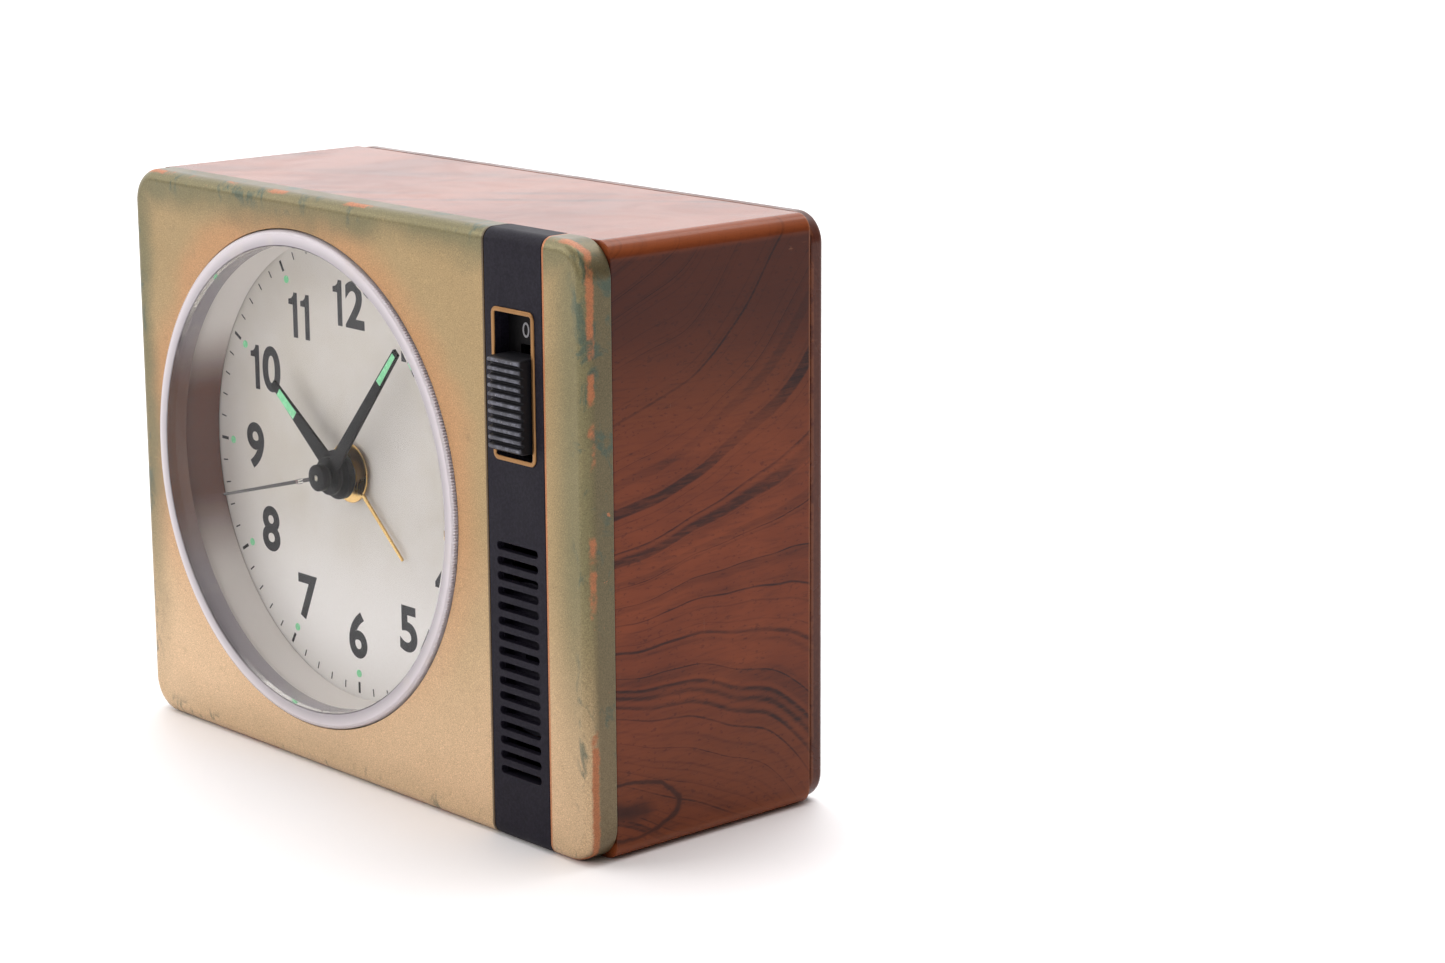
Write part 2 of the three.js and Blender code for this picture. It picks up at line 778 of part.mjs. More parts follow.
function backCover() {
  const outer = filletedSlab(sleeveWidth, sleeveHeight, coverCorner, coverFillet, caseDepth, sleeveEnd);
  const pocket = slab(
    roundedRectangle(sleeveWidth - 2 * coverWall, sleeveHeight - 2 * coverWall, coverCorner - coverWall),
    sleeveEnd - 1,
    coverInside,
  );
  const lipInset = 2 * (sleeveWall + fitGap);
  const lip = cut(
    slab(
      roundedRectangle(sleeveWidth - lipInset, sleeveHeight - lipInset, coverWall),
      sleeveEnd - coverLip,
      coverInside + wallBite,
      3,
    ),
    slab(
      roundedRectangle(
        sleeveWidth - lipInset - 2 * coverLipWall,
        sleeveHeight - lipInset - 2 * coverLipWall,
        leastCorner,
      ),
      sleeveEnd - coverLip - 1,
      caseDepth,
      3,
    ),
  );
  const bayBox = block(
    bay.length + 2 * bayWall,
    bay.front - bayWall,
    coverInside + wallBite,
    bay.height + 2 * bayWall,
  );
  const bayHollow = block(bay.length, bay.front, caseDepth + 1, bay.height);
  const doorway = block(door.width + 2 * doorGap, doorFace, caseDepth + 1, door.height + 2 * doorGap);
  const pinHole = laidAcross(rod(
    hingePinRadius + boreGap,
    -door.width / 2 - hingePinLength - fitGap,
    door.width / 2 + hingePinLength + fitGap,
    10,
  ));
  const notch = rod(thumbNotchRadius, caseDepth - doorThickness / 2, caseDepth + 1, 16);
  const screwHoles = caseScrews.flatMap(({ x, z }) => [
    moved(rod(caseScrewRadius + fitGap, coverInside - 1, caseDepth + 1, 10), x, 0, z - sleeveMidZ),
    moved(
      rod(caseScrewHeadRadius + fitGap, caseDepth - caseScrewHeadHeight - fitGap, caseDepth + 1, 12),
      x,
      0,
      z - sleeveMidZ,
    ),
  ]);
  const shaftHoles = [timeSetAxis, alarmSetAxis].map(({ x, z }) => moved(
    rod(shaftRadius + 2 * fitGap, coverInside - 1, caseDepth + 1, 10),
    centreX + x,
    0,
    centreZ + z - sleeveMidZ,
  ));
  const bayZ = bay.z - sleeveMidZ;
  return cut(
    join(cut(outer, pocket), lip, moved(bayBox, bay.x, 0, bayZ)),
    moved(bayHollow, bay.x, 0, bayZ),
    moved(doorway, bay.x, 0, bayZ),
    moved(pinHole, bay.x, hinge.depth, hinge.z - sleeveMidZ),
    moved(notch, bay.x, 0, bayZ + door.height / 2 + doorGap),
    ...screwHoles,
    ...shaftHoles,
  );
}

// The door, with its lower edge rounded about the hinge line and a pin at each end.
function batteryDoor() {
  const half = doorThickness / 2;
  const top = door.height - half;
  const side = new THREE.Shape();
  side.moveTo(half, 0);
  side.lineTo(half, top);
  side.lineTo(-half, top);
  side.lineTo(-half, 0);
  side.absarc(0, 0, half, Math.PI, FULL);
  const reach = door.width / 2 + hingePinLength;
  const pin = laidAcross(rod(hingePinRadius, -reach, reach, 10));
  return join(sideSlab(side, door.width), pin);
}

// ---------------------------------------------------------------- battery and contacts
const cellStart = bay.x - bay.length / 2 + contactRoom + cellGap;

function batteryCell() {
  return laidAcross(turned([
    [0, 0],
    [cellRadius - cellRim, 0],
    [cellRadius, cellRim],
    [cellRadius, cellLength - cellRim],
    [cellRadius - cellRim, cellLength],
    [cellNubRadius, cellLength],
    [cellNubRadius, cellLength + cellNub],
    [0, cellLength + cellNub],
  ], 18));
}

class Coil extends THREE.Curve {
  constructor(radius, length, turns) {
    super();
    Object.assign(this, { radius, length, turns });
  }

  getPoint(t, target = new THREE.Vector3()) {
    const angle = t * this.turns * FULL;
    return target.set(t * this.length, this.radius * Math.cos(angle), this.radius * Math.sin(angle));
  }
}

function contactSpring() {
  const wire = new THREE.Shape();
  wire.absarc(0, 0, springWire, 0, FULL);
  return new THREE.ExtrudeGeometry(wire, {
    extrudePath: new Coil(springRadius, contactRoom - 2 * springWire, springTurns),
    steps: springTurns * 8,
    curveSegments: 3,
    bevelEnabled: false,
  });
}

// ---------------------------------------------------------------- movement plates
const statorX = rotorAxis.x - statorShift;
const statorLeft = statorX - coilLength / 2 - fitGap - statorLeg;
const coreBottom = minuteAxis.z - wheelReach(teeth.minuteWheel, motionModule) - pillarRadius;
const pillars = [
  { x: timeSetAxis.x - pillarToShaft, z: coreBottom + pillarInset },
  { x: pillarToShaft - timeSetAxis.x, z: coreBottom + pillarInset },
  { x: alarmSetAxis.x + pillarToAlarmShaft, z: upperPillarZ },
  { x: statorLeft - pillarInset - partGap, z: rotorAxis.z + topPillarRise },
];
const core = {
  left: Math.min(...pillars.map(({ x }) => x)) - pillarInset,
  right: Math.max(...pillars.map(({ x }) => x)) + pillarInset,
  top: Math.max(...pillars.map(({ z }) => z)) + pillarInset,
  bottom: coreBottom,
};
const coilZ = core.top + coilRadius + coilCore;
const boardX = core.left - partGap - boardWidth / 2;
const boardPosts = [-1, 1].map((end) => ({
  x: boardX,
  z: boardZ + end * (boardHeight / 2 - boardPostInset),
}));
const statorPosts = [-1, 1].map((side) => ({
  x: statorX + side * (coilLength / 2 + fitGap + statorLeg / 2),
  z: core.top + pillarRadius + 2 * fitGap,
}));

function holesAt(places, radius, fromDepth, toDepth) {
  return places.map(({ x, z }) => moved(rod(radius, fromDepth, toDepth, 8), x, 0, z));
}

function frontPlate() {
  const side = 2 * (postReach + postRadius);
  const back = frontPlateDepth + plateThickness;
  const plate = slab(roundedRectangle(side, side, postRadius), frontPlateDepth, back, 3);
  const posts = [...boardPosts, ...statorPosts].map(({ x, z }) => moved(
    rod(pillarRadius, back - wallBite, statorDepth - seam, 10),
    x,
    0,
    z,
  ));
  const spans = [frontPlateDepth - 1, back + 1];
  return cut(
    join(plate, ...posts),
    ...holesAt([centre], alarmPipe + 2 * fitGap, ...spans),
    ...holesAt([thirdAxis, minuteAxis, timeSetAxis, alarmSetAxis], arborRadius + boreGap, ...spans),
    ...holesAt(platePosts, screwRadius + fitGap, ...spans),
  );
}

function corePlate(depth, arbors, shafts) {
  const [width, height] = [core.right - core.left, core.top - core.bottom];
  const [midX, midZ] = [(core.left + core.right) / 2, (core.top + core.bottom) / 2];
  const plate = moved(
    slab(roundedRectangle(width, height, pillarRadius), depth, depth + plateThickness, 3),
    midX,
    0,
    midZ,
  );
  const spans = [depth - 1, depth + plateThickness + 1];
  return cut(
    plate,
    ...holesAt(arbors, arborRadius + boreGap, ...spans),
    ...holesAt(shafts, shaftRadius + boreGap, ...spans),
  );
}

function middlePlate() {
  const plate = corePlate(
    middlePlateDepth,
    [centre, thirdAxis, minuteAxis, stepAxis, rotorAxis],
    [timeSetAxis, alarmSetAxis],
  );
  return cut(plate, ...holesAt(pillars, pillarRadius + boreGap, middlePlateDepth - 1, rearPlateDepth));
}

function rearPlate() {
  const plate = corePlate(
    rearPlateDepth,
    [centre, thirdAxis, stepAxis, rotorAxis],
    [timeSetAxis, alarmSetAxis],
  );
  return cut(plate, ...holesAt(pillars, screwRadius + fitGap, rearPlateDepth - 1, rearPlateEnd + 1));
}

function pillar() {
  const [front, back] = [frontPlateDepth + plateThickness + seam, rearPlateDepth - seam];
  const drill = rod(screwRadius + boreGap, back - screwLength, back + 1, 8);
  return cut(rod(pillarRadius, front, back, 10), drill);
}

// A screw with its head behind `seat`, pointing forwards.
function screw(radius, headRadius, headHeight, length, seat) {
  return turned([
    [0, seat - length],
    [radius, seat - length + radius],
    [radius, seat],
    [headRadius, seat],
    [headRadius, seat + headHeight],
    [0, seat + headHeight],
  ], 9);
}

// ---------------------------------------------------------------- coil, stator and board
function stator() {
  const [low, high] = [rotorAxis.z - statorBar / 2, rotorAxis.z + statorBar / 2];
  const inner = coilLength / 2 + fitGap;
  const outer = inner + statorLeg;
  const top = coilZ + coilCore + coilFlange;
  const shape = new THREE.Shape();
  shape.moveTo(statorX - outer, low);
  shape.lineTo(statorX + outer, low);
  shape.lineTo(statorX + outer, top);
  shape.lineTo(statorX + inner, top);
  shape.lineTo(statorX + inner, high);
  shape.lineTo(statorX - inner, high);
  shape.lineTo(statorX - inner, top);
  shape.lineTo(statorX - outer, top);
  shape.closePath();
  const magnetHole = new THREE.Path();
  magnetHole.absarc(rotorAxis.x, rotorAxis.z, magnetRadius + magnetGap, 0, FULL, true);
  shape.holes.push(magnetHole);
  return slab(shape, statorDepth, statorDepth + statorThickness, 8);
}

function coilBobbin() {
  const half = coilLength / 2;
  return laidAcross(turned([
    [0, -half],
    [coilRadius, -half],
    [coilRadius, -half + coilFlange],
    [coilCore, -half + coilFlange],
    [coilCore, half - coilFlange],
    [coilRadius, half - coilFlange],
    [coilRadius, half],
    [0, half],
  ], 16));
}

function coilWinding() {
  const half = coilLength / 2 - coilFlange - fitGap;
  return laidAcross(ring(coilCore + boreGap, coilRadius - windingInset, -half, half, 16));
}

// ---------------------------------------------------------------- knobs and setting shafts
function flutedKnob() {
  const points = [];
  for (let i = 0; i < knobFlutes * 2; i += 1) {
    const radius = i % 2 === 0 ? knobRadius : knobRadius - knobFluteDepth;
    const angle = (i / (knobFlutes * 2)) * FULL;
    points.push(new THREE.Vector2(radius * Math.cos(angle), radius * Math.sin(angle)));
  }
  const front = caseDepth + knobToCover;
  const body = slab(new THREE.Shape(points), front, front + knobLength);
  return cut(body, rod(shaftRadius + boreGap, front - 1, front + knobBoreDepth, 14));
}

function settingShaft(pinion, level) {
  const end = caseDepth + knobToCover + shaftInKnob;
  return join(
    pinion,
    rod(arborRadius, frontPlateDepth, level + wheelThickness / 2, 8),
    rod(shaftRadius, level + wheelThickness / 2, end, 10),
  );
}

// ---------------------------------------------------------------- front and case
const midZ = caseHeight / 2;
piece("front_bezel", frontBezel(), "gold", 0, 0, midZ);
piece("fascia_strip", fasciaStrip(), "black", stripX, 0, midZ);
piece("switch_frame", switchFrame(), "frameGold", stripX, 0, windowZ);
piece("switch_guide", switchGuide(), "black", stripX, 0, windowZ);
piece("alarm_switch_knob", switchKnob(), "slate", stripX, 0, switchKnobZ);
const sliderFront = guideDepth + guideThickness + 2 * fitGap;
const sliderWidth = windowWidth - 2 * sliderEdgeGap;
const slider = block(sliderWidth, sliderFront, sliderFront + sliderThickness, sliderHeight);
piece("switch_slider", slider, "slate", stripX, 0, switchKnobZ);
piece("lens", lensSolid(), "clear", centreX, 0, centreZ);
piece("dial_surround", dialSurround(), "white", centreX, 0, centreZ);
const dialRadius = lensRadius - lensRimWidth + surroundWall;
const dialDisc = ring(dialHole, dialRadius, dialDepth, dialDepth + dialThickness, 40);
piece("dial", dialDisc, "cream", centreX, 0, centreZ);
piece("case_sleeve", caseSleeve(), "wood", 0, 0, sleeveMidZ);
piece("back_cover", backCover(), "brownPlastic", 0, 0, sleeveMidZ);
piece("battery_door", batteryDoor(), "brownPlastic", bay.x, hinge.depth, hinge.z);
piece("battery_cell", batteryCell(), "cell", cellStart, cellDepth, bay.z);
const contactPlate = new THREE.BoxGeometry(contactThickness, cellRadius, cellRadius);
const contactPlateX = bay.x + bay.length / 2 - contactThickness / 2 - seam;
piece("contact_plate", contactPlate, "steel", contactPlateX, cellDepth, bay.z);
const springX = bay.x - bay.length / 2 + springWire + seam;
piece("contact_spring", contactSpring(), "steel", springX, cellDepth, bay.z);
const buzzer = rod(buzzerRadius, guideDepth + fitGap, guideDepth + fitGap + buzzerDepth, 28);
const buzzerMouth = rod(buzzerMouthRadius, 0, guideDepth + buzzerMouthDepth, 12);
piece("buzzer", cut(buzzer, buzzerMouth), "black", stripX, 0, slotFieldZ);
caseScrews.forEach(({ x, z }, i) => {
  const seat = caseDepth - caseScrewHeadHeight - seam;
  const length = caseScrewBite + seat - coverInside;
  const solid = screw(caseScrewRadius, caseScrewHeadRadius, caseScrewHeadHeight, length, seat);
  piece(`case_screw_${i + 1}`, solid, "steel", x, 0, z);
});

// ---------------------------------------------------------------- movement frame
piece("movement_front_plate", frontPlate(), "white", 0, 0, 0, movement);
piece("movement_middle_plate", middlePlate(), "white", 0, 0, 0, movement);
piece("movement_rear_plate", rearPlate(), "white", 0, 0, 0, movement);
platePosts.forEach(({ x, z }, i) => {
  const seat = frontPlateDepth + plateThickness + seam;
  const solid = screw(screwRadius, screwHeadRadius, screwHeadHeight, screwLength, seat);
  piece(`plate_screw_${i + 1}`, solid, "steel", x, 0, z, movement);
});
pillars.forEach(({ x, z }, i) => {
  piece(`pillar_${i + 1}`, pillar(), "brass", x, 0, z, movement);
  const solid = screw(screwRadius, screwHeadRadius, screwHeadHeight, screwLength, rearPlateEnd + seam);
  piece(`pillar_screw_${i + 1}`, solid, "steel", x, 0, z, movement);
});
piece("stator", stator(), "steel", 0, 0, 0, movement);
const coilDepth = statorDepth + statorThickness / 2;
piece("coil_bobbin", coilBobbin(), "white", statorX, coilDepth, coilZ, movement);
piece("coil_winding", coilWinding(), "copper", statorX, coilDepth, coilZ, movement);
const boardBack = statorDepth + boardThickness;
const board = block(boardWidth, statorDepth, boardBack, boardHeight);
piece("circuit_board", board, "board", boardX, 0, boardZ, movement);
const chip = block(chipSize, boardBack + seam, boardBack + seam + chipHeight, chipSize);
piece("clock_chip", chip, "black", boardX, 0, boardZ - chipSize, movement);
const crystal = rod(crystalRadius, -crystalLength / 2, crystalLength / 2, 12).rotateX(RIGHT_ANGLE);
const crystalDepth = boardBack + crystalRadius + seam;
piece("quartz_crystal", crystal, "steel", boardX, crystalDepth, boardZ + crystalLength, movement);

// ---------------------------------------------------------------- seconds train
const secondsTooth = 0;
const thirdTooth = meshAngle(
  bearing(centre, thirdAxis),
  secondsTooth,
  teeth.secondsPinion,
  teeth.thirdWheel,
);
const centreTooth = meshAngle(bearing(thirdAxis, centre), 0, teeth.thirdPinion, teeth.centreWheel);
const stepTooth = meshAngle(bearing(centre, stepAxis), secondsTooth, teeth.secondsWheel, teeth.stepPinion);
const rotorTooth = meshAngle(bearing(stepAxis, rotorAxis), 0, teeth.stepWheel, teeth.rotor);
const pivotEnd = rearPlateEnd - seam;
const arborFromMiddle = rod(arborRadius, middlePlateDepth, pivotEnd, 8);

piece("seconds_wheel", join(
  rod(arborRadius, secondHand.depth, pivotEnd, 8),
  gear(teeth.secondsWheel, secondsModule, secondsLevel, secondsTooth),
  gear(teeth.secondsPinion, thirdModule, thirdLevel, secondsTooth),
), "gear", 0, 0, 0, movement);
piece("third_wheel", join(
  rod(arborRadius, frontPlateDepth, pivotEnd, 8),
  gear(teeth.thirdWheel, thirdModule, thirdLevel, thirdTooth),
  gear(teeth.thirdPinion, centreModule, centreLevel, 0),
), "gear", thirdAxis.x, 0, thirdAxis.z, movement);
const centreWheel = gear(teeth.centreWheel, centreModule, centreLevel, centreTooth, cannonBore);
piece("centre_wheel", centreWheel, "gear", 0, 0, 0, movement);
piece("step_wheel", join(
  arborFromMiddle,
  gear(teeth.stepWheel, stepModule, stepLevel, 0),
  gear(teeth.stepPinion, secondsModule, secondsLevel, stepTooth),
), "gear", stepAxis.x, 0, stepAxis.z, movement);
piece("rotor", join(
  arborFromMiddle,
  rod(magnetRadius, coilDepth - magnetLength / 2, coilDepth + magnetLength / 2, 16),
  gear(teeth.rotor, stepModule, stepLevel, rotorTooth),
), "steel", rotorAxis.x, 0, rotorAxis.z, movement);

// ---------------------------------------------------------------- motion work and alarm train
const cannonTooth = 0;
const minuteTooth = meshAngle(bearing(centre, minuteAxis), cannonTooth, teeth.cannon, teeth.minuteWheel);
const hourTooth = meshAngle(bearing(minuteAxis, centre), 0, teeth.minutePinion, teeth.hourWheel);
const timeSetTooth = meshAngle(
  bearing(minuteAxis, timeSetAxis),
  minuteTooth,
  teeth.minuteWheel,
  teeth.timeSet,
);
const alarmSetTooth = meshAngle(bearing(centre, alarmSetAxis), 0, teeth.alarmWheel, teeth.alarmSet);

piece("cannon_pinion", join(
  ring(cannonBore, cannonPipe, minuteHand.depth, minuteLevel + wheelThickness, 12),
  gear(teeth.cannon, motionModule, minuteLevel, cannonTooth, (cannonBore + cannonPipe) / 2),
), "gear", 0, 0, 0, movement);
piece("hour_wheel", join(
  ring(hourBore, hourPipe, hourHand.depth, hourLevel + wheelThickness, 14),
  gear(teeth.hourWheel, motionModule, hourLevel, hourTooth, (hourBore + hourPipe) / 2),
), "gear", 0, 0, 0, movement);
piece("alarm_wheel", join(
  ring(alarmBore, alarmPipe, alarmHand.depth, alarmLevel + wheelThickness, 16),
  gear(teeth.alarmWheel, alarmModule, alarmLevel, 0, (alarmBore + alarmPipe) / 2),
), "brass", 0, 0, 0, movement);
piece("minute_wheel", join(
  rod(arborRadius, frontPlateDepth, middlePlateDepth + plateThickness, 8),
  gear(teeth.minuteWheel, motionModule, minuteLevel, minuteTooth),
  gear(teeth.minutePinion, motionModule, hourLevel, 0),
), "gear", minuteAxis.x, 0, minuteAxis.z, movement);
const timePinion = gear(teeth.timeSet, motionModule, minuteLevel, timeSetTooth);
const alarmPinion = gear(teeth.alarmSet, alarmModule, alarmLevel, alarmSetTooth);
const timeShaft = settingShaft(timePinion, minuteLevel);
const alarmShaft = settingShaft(alarmPinion, alarmLevel);
piece("time_set_shaft", timeShaft, "steel", timeSetAxis.x, 0, timeSetAxis.z, movement);
piece("alarm_set_shaft", alarmShaft, "steel", alarmSetAxis.x, 0, alarmSetAxis.z, movement);
piece("time_set_knob", flutedKnob(), "black", timeSetAxis.x, 0, timeSetAxis.z, movement);
piece("alarm_set_knob", flutedKnob(), "handGold", alarmSetAxis.x, 0, alarmSetAxis.z, movement);

// ---------------------------------------------------------------- hands
addHand("second_hand", secondHand, arborRadius + seam, "steel");
addHand("minute_hand", minuteHand, cannonPipe + seam, "handBlack");
addHand("hour_hand", hourHand, hourPipe + seam, "handBlack");
addHand("alarm_hand", alarmHand, alarmPipe + seam, "handGold");

export default clock;
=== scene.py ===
"""Battery alarm clock: gold front frame, black switch and sound strip, round lens over a cream
dial, glossy wood-grain sleeve and brown back cover. Metres; +X right, +Y back, +Z up."""
import json
import math

import bmesh
import bpy
from mathutils import Matrix, Vector


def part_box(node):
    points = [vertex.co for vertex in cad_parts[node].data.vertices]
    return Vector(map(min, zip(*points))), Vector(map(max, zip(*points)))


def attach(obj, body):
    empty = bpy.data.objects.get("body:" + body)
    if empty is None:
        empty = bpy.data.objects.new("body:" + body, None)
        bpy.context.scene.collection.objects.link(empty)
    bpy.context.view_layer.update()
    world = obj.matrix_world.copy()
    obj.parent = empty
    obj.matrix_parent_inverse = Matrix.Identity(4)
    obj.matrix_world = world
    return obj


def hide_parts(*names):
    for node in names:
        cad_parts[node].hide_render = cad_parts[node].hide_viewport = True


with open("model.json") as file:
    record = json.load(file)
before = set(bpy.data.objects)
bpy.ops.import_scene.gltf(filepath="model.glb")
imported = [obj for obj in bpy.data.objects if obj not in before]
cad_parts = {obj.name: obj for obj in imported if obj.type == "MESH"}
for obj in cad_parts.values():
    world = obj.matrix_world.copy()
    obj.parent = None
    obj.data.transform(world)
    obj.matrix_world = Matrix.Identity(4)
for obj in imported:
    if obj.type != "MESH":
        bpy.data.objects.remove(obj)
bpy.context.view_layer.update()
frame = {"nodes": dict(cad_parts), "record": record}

MM = 0.001
RIGHT_ANGLE = math.pi / 2


# ------------------------------------------------------------------ places taken from the frame
def span(node):
    low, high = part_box(node)
    return Vector(low), Vector(high)


def axis_of(node):
    """Where a round node's middle line stands, as (x, z)."""
    low, high = span(node)
    return (low.x + high.x) / 2, (low.z + high.z) / 2


BEZEL_LOW, BEZEL_HIGH = span("front_bezel")
SLEEVE_LOW, SLEEVE_HIGH = span("case_sleeve")
COVER_HIGH = span("back_cover")[1]
STRIP_LOW, STRIP_HIGH = span("fascia_strip")
TRIM_LOW, TRIM_HIGH = span("switch_frame")
GUIDE_LOW, GUIDE_HIGH = span("switch_guide")
SWITCH_LOW, SWITCH_HIGH = span("alarm_switch_knob")
BUZZER_LOW = span("buzzer")[0]
LENS_LOW, LENS_HIGH = span("lens")
SURROUND_LOW, SURROUND_HIGH = span("dial_surround")
DIAL_LOW, DIAL_HIGH = span("dial")
DOOR_LOW, DOOR_HIGH = span("battery_door")

SEAM = 0.1 * MM
FRONT = BEZEL_LOW.y
BACK = COVER_HIGH.y
BEZEL_BACK = SLEEVE_LOW.y - SEAM
WIDTH = BEZEL_HIGH.x - BEZEL_LOW.x
HEIGHT = BEZEL_HIGH.z
MIDDLE_Z = HEIGHT / 2
DIAL_X, DIAL_Z = axis_of("lens")
LENS_FLANGE = 1.3 * MM
LENS_RADIUS = (LENS_HIGH.x - LENS_LOW.x) / 2 - LENS_FLANGE
DIAL_FACE = DIAL_LOW.y
STRIP_X = axis_of("fascia_strip")[0]
WINDOW_Z = axis_of("switch_frame")[1]
SLOT_FIELD_Z = axis_of("buzzer")[1]

# Sizes of the outer pieces
BEZEL_CORNER = 5.5 * MM
BEZEL_FILLET = 1.9 * MM
BEZEL_WALL = 2.4 * MM
SLEEVE_CORNER = 2.6 * MM
SLEEVE_WALL = 2.2 * MM
COVER_CORNER = 4.6 * MM
COVER_FILLET = 1.1 * MM
COVER_WALL = 1.8 * MM
STRIP_THICKNESS = 1.1 * MM
TRIM_LINE = 0.7 * MM
SLOT_COUNT = 16
SLOT_PITCH = 2.24 * MM
SLOT_LENGTH = 9.2 * MM
SLOT_HEIGHT = 1.2 * MM
SCREW_POST_RADIUS = 2.4 * MM
SCREW_RECESS_RADIUS = 2.4 * MM
SCREW_RECESS_DEPTH = 1.4 * MM
SHAFT_HOLE_RADIUS = 1.3 * MM
PANEL_WIDTH = 46 * MM
PANEL_HEIGHT = 17 * MM
PANEL_DROP = 22 * MM
PANEL_DEPTH = 0.35 * MM
SWITCH_TRAVEL = 5 * MM
STRIP_WIDTH = STRIP_HIGH.x - STRIP_LOW.x
TRIM_WIDTH = TRIM_HIGH.x - TRIM_LOW.x
TRIM_HEIGHT = TRIM_HIGH.z - TRIM_LOW.z
SLOT_FIELD_HEIGHT = SLOT_COUNT * SLOT_PITCH

# Sizes on the dial; a hand's angle is in degrees from twelve
HOUR_TICK_START = 34.1 * MM
MINUTE_TICK_START = 34.7 * MM
TICK_END = 35.9 * MM
LUME_DOT_REACH = 32.7 * MM
MINUTE_HAND_ANGLE = 40
MINUTE_HAND_WIDTH = 2.4 * MM
MINUTE_HAND_LENGTH = 28.7 * MM
HOUR_HAND_ANGLE = 307
HOUR_HAND_WIDTH = 2.9 * MM
HOUR_HAND_LENGTH = 20.3 * MM
HAND_THICKNESS = 0.5 * MM
NEEDLE_THICKNESS = 0.3 * MM
GLOW_THICKNESS = 0.2 * MM
GLOW_RISE = 0.07 * MM


# ------------------------------------------------------------------ mesh making
def drawn_at(x, z, depth, outline):
    """An (across, up) outline placed about (x, z) at a depth."""
    return [Vector((x + point.x, depth, z + point.y)) for point in outline]


def circle_at(x, z, depth, radii):
    """A ring of points about (x, z), one for each radius given."""
    ring = []
    for step, radius in enumerate(radii):
        angle = 2 * math.pi * step / len(radii)
        ring.append(Vector((x + radius * math.cos(angle), depth, z + radius * math.sin(angle))))
    return ring


def rounded_outline(width, height, radius, steps=10):
    """Points of a rounded rectangle about the origin, as (across, up)."""
    points = []
    for turn, (side, end) in enumerate([(1, 1), (-1, 1), (-1, -1), (1, -1)]):
        middle = Vector((side * (width / 2 - radius), end * (height / 2 - radius)))
        for step in range(steps + 1):
            angle = (turn + step / steps) * RIGHT_ANGLE
            points.append(middle + radius * Vector((math.cos(angle), math.sin(angle))))
    return points


def quarter_rounds(start, end, first, last, steps=6):
    """(inset, depth) pairs from start to end, with a quarter round of radius first and last."""
    direction = 1 if end > start else -1
    pairs = []
    for step in range(steps + 1):
        angle = RIGHT_ANGLE * step / steps
        pairs.append((first * (1 - math.sin(angle)), start + direction * first * (1 - math.cos(angle))))
    for step in range(steps + 1):
        angle = RIGHT_ANGLE * step / steps
        pairs.append((last * (1 - math.cos(angle)), end - direction * last * (1 - math.sin(angle))))
    return pairs


def skin(rings, closed=False):
    """A mesh through rings of points; the end rings are capped, or joined when closed."""
    mesh = bmesh.new()
    rows = [[mesh.verts.new(point) for point in ring] for ring in rings]
    following = rows[1:] + (rows[:1] if closed else [])
    for near, far in zip(rows, following):
        for i in range(len(near)):
            j = (i + 1) % len(near)
            mesh.faces.new((near[i], near[j], far[j], far[i]))
    if not closed:
        mesh.faces.new(rows[0])
        mesh.faces.new(rows[-1])
    bmesh.ops.recalc_face_normals(mesh, faces=mesh.faces)
    return mesh


def slab(x, z, width, height, corner, pairs, steps=10, closed=False):
    """A rounded-rectangle block about (x, z), through (inset, depth) pairs; a frame when closed."""
    rings = []
    for inset, depth in pairs:
        radius = max(corner - inset, 0.02 * MM)
        outline = rounded_outline(width - 2 * inset, height - 2 * inset, radius, steps)
        rings.append(drawn_at(x, z, depth, outline))
    return skin(rings, closed)


def plain_slab(x, z, width, height, corner, start, end, steps=6):
    return slab(x, z, width, height, corner, [(0, start), (0, end)], steps)


def turned(x, z, profile, steps=128, closed=False):
    """A solid turned about the depth axis through (x, z), from (radius, depth) pairs."""
    return skin([circle_at(x, z, depth, [radius] * steps) for radius, depth in profile], closed)


def across(outline, x, width, end_round, steps=3):
    """A (depth, up) outline extruded across the clock, its ends drawn in by end_round."""
    low = Vector((min(p.x for p in outline), min(p.y for p in outline)))
    high = Vector((max(p.x for p in outline), max(p.y for p in outline)))
    middle = (low + high) / 2
    size = high - low
    rings = []
    for inset, place in quarter_rounds(x - width / 2, x + width / 2, end_round, end_round, steps):
        shrink = Vector((1 - 2 * inset / size.x, 1 - 2 * inset / size.y))
        offsets = [(point.x - middle.x, point.y - middle.y) for point in outline]
        drawn = [middle + Vector((depth * shrink.x, up * shrink.y)) for depth, up in offsets]
        rings.append([Vector((place, point.x, point.y)) for point in drawn])
    return skin(rings)


def together(*meshes):
    """Several meshes as one, each left as its own shell."""
    whole = bmesh.new()
    for mesh in meshes:
        carrier = bpy.data.meshes.new("carrier")
        mesh.to_mesh(carrier)
        whole.from_mesh(carrier)
        bpy.data.meshes.remove(carrier)
        mesh.free()
    return whole


def mesh_object(name, mesh):
    data = bpy.data.meshes.new(name)
    mesh.to_mesh(data)
    mesh.free()
    made = bpy.data.objects.new(name, data)
    bpy.context.scene.collection.objects.link(made)
    return made


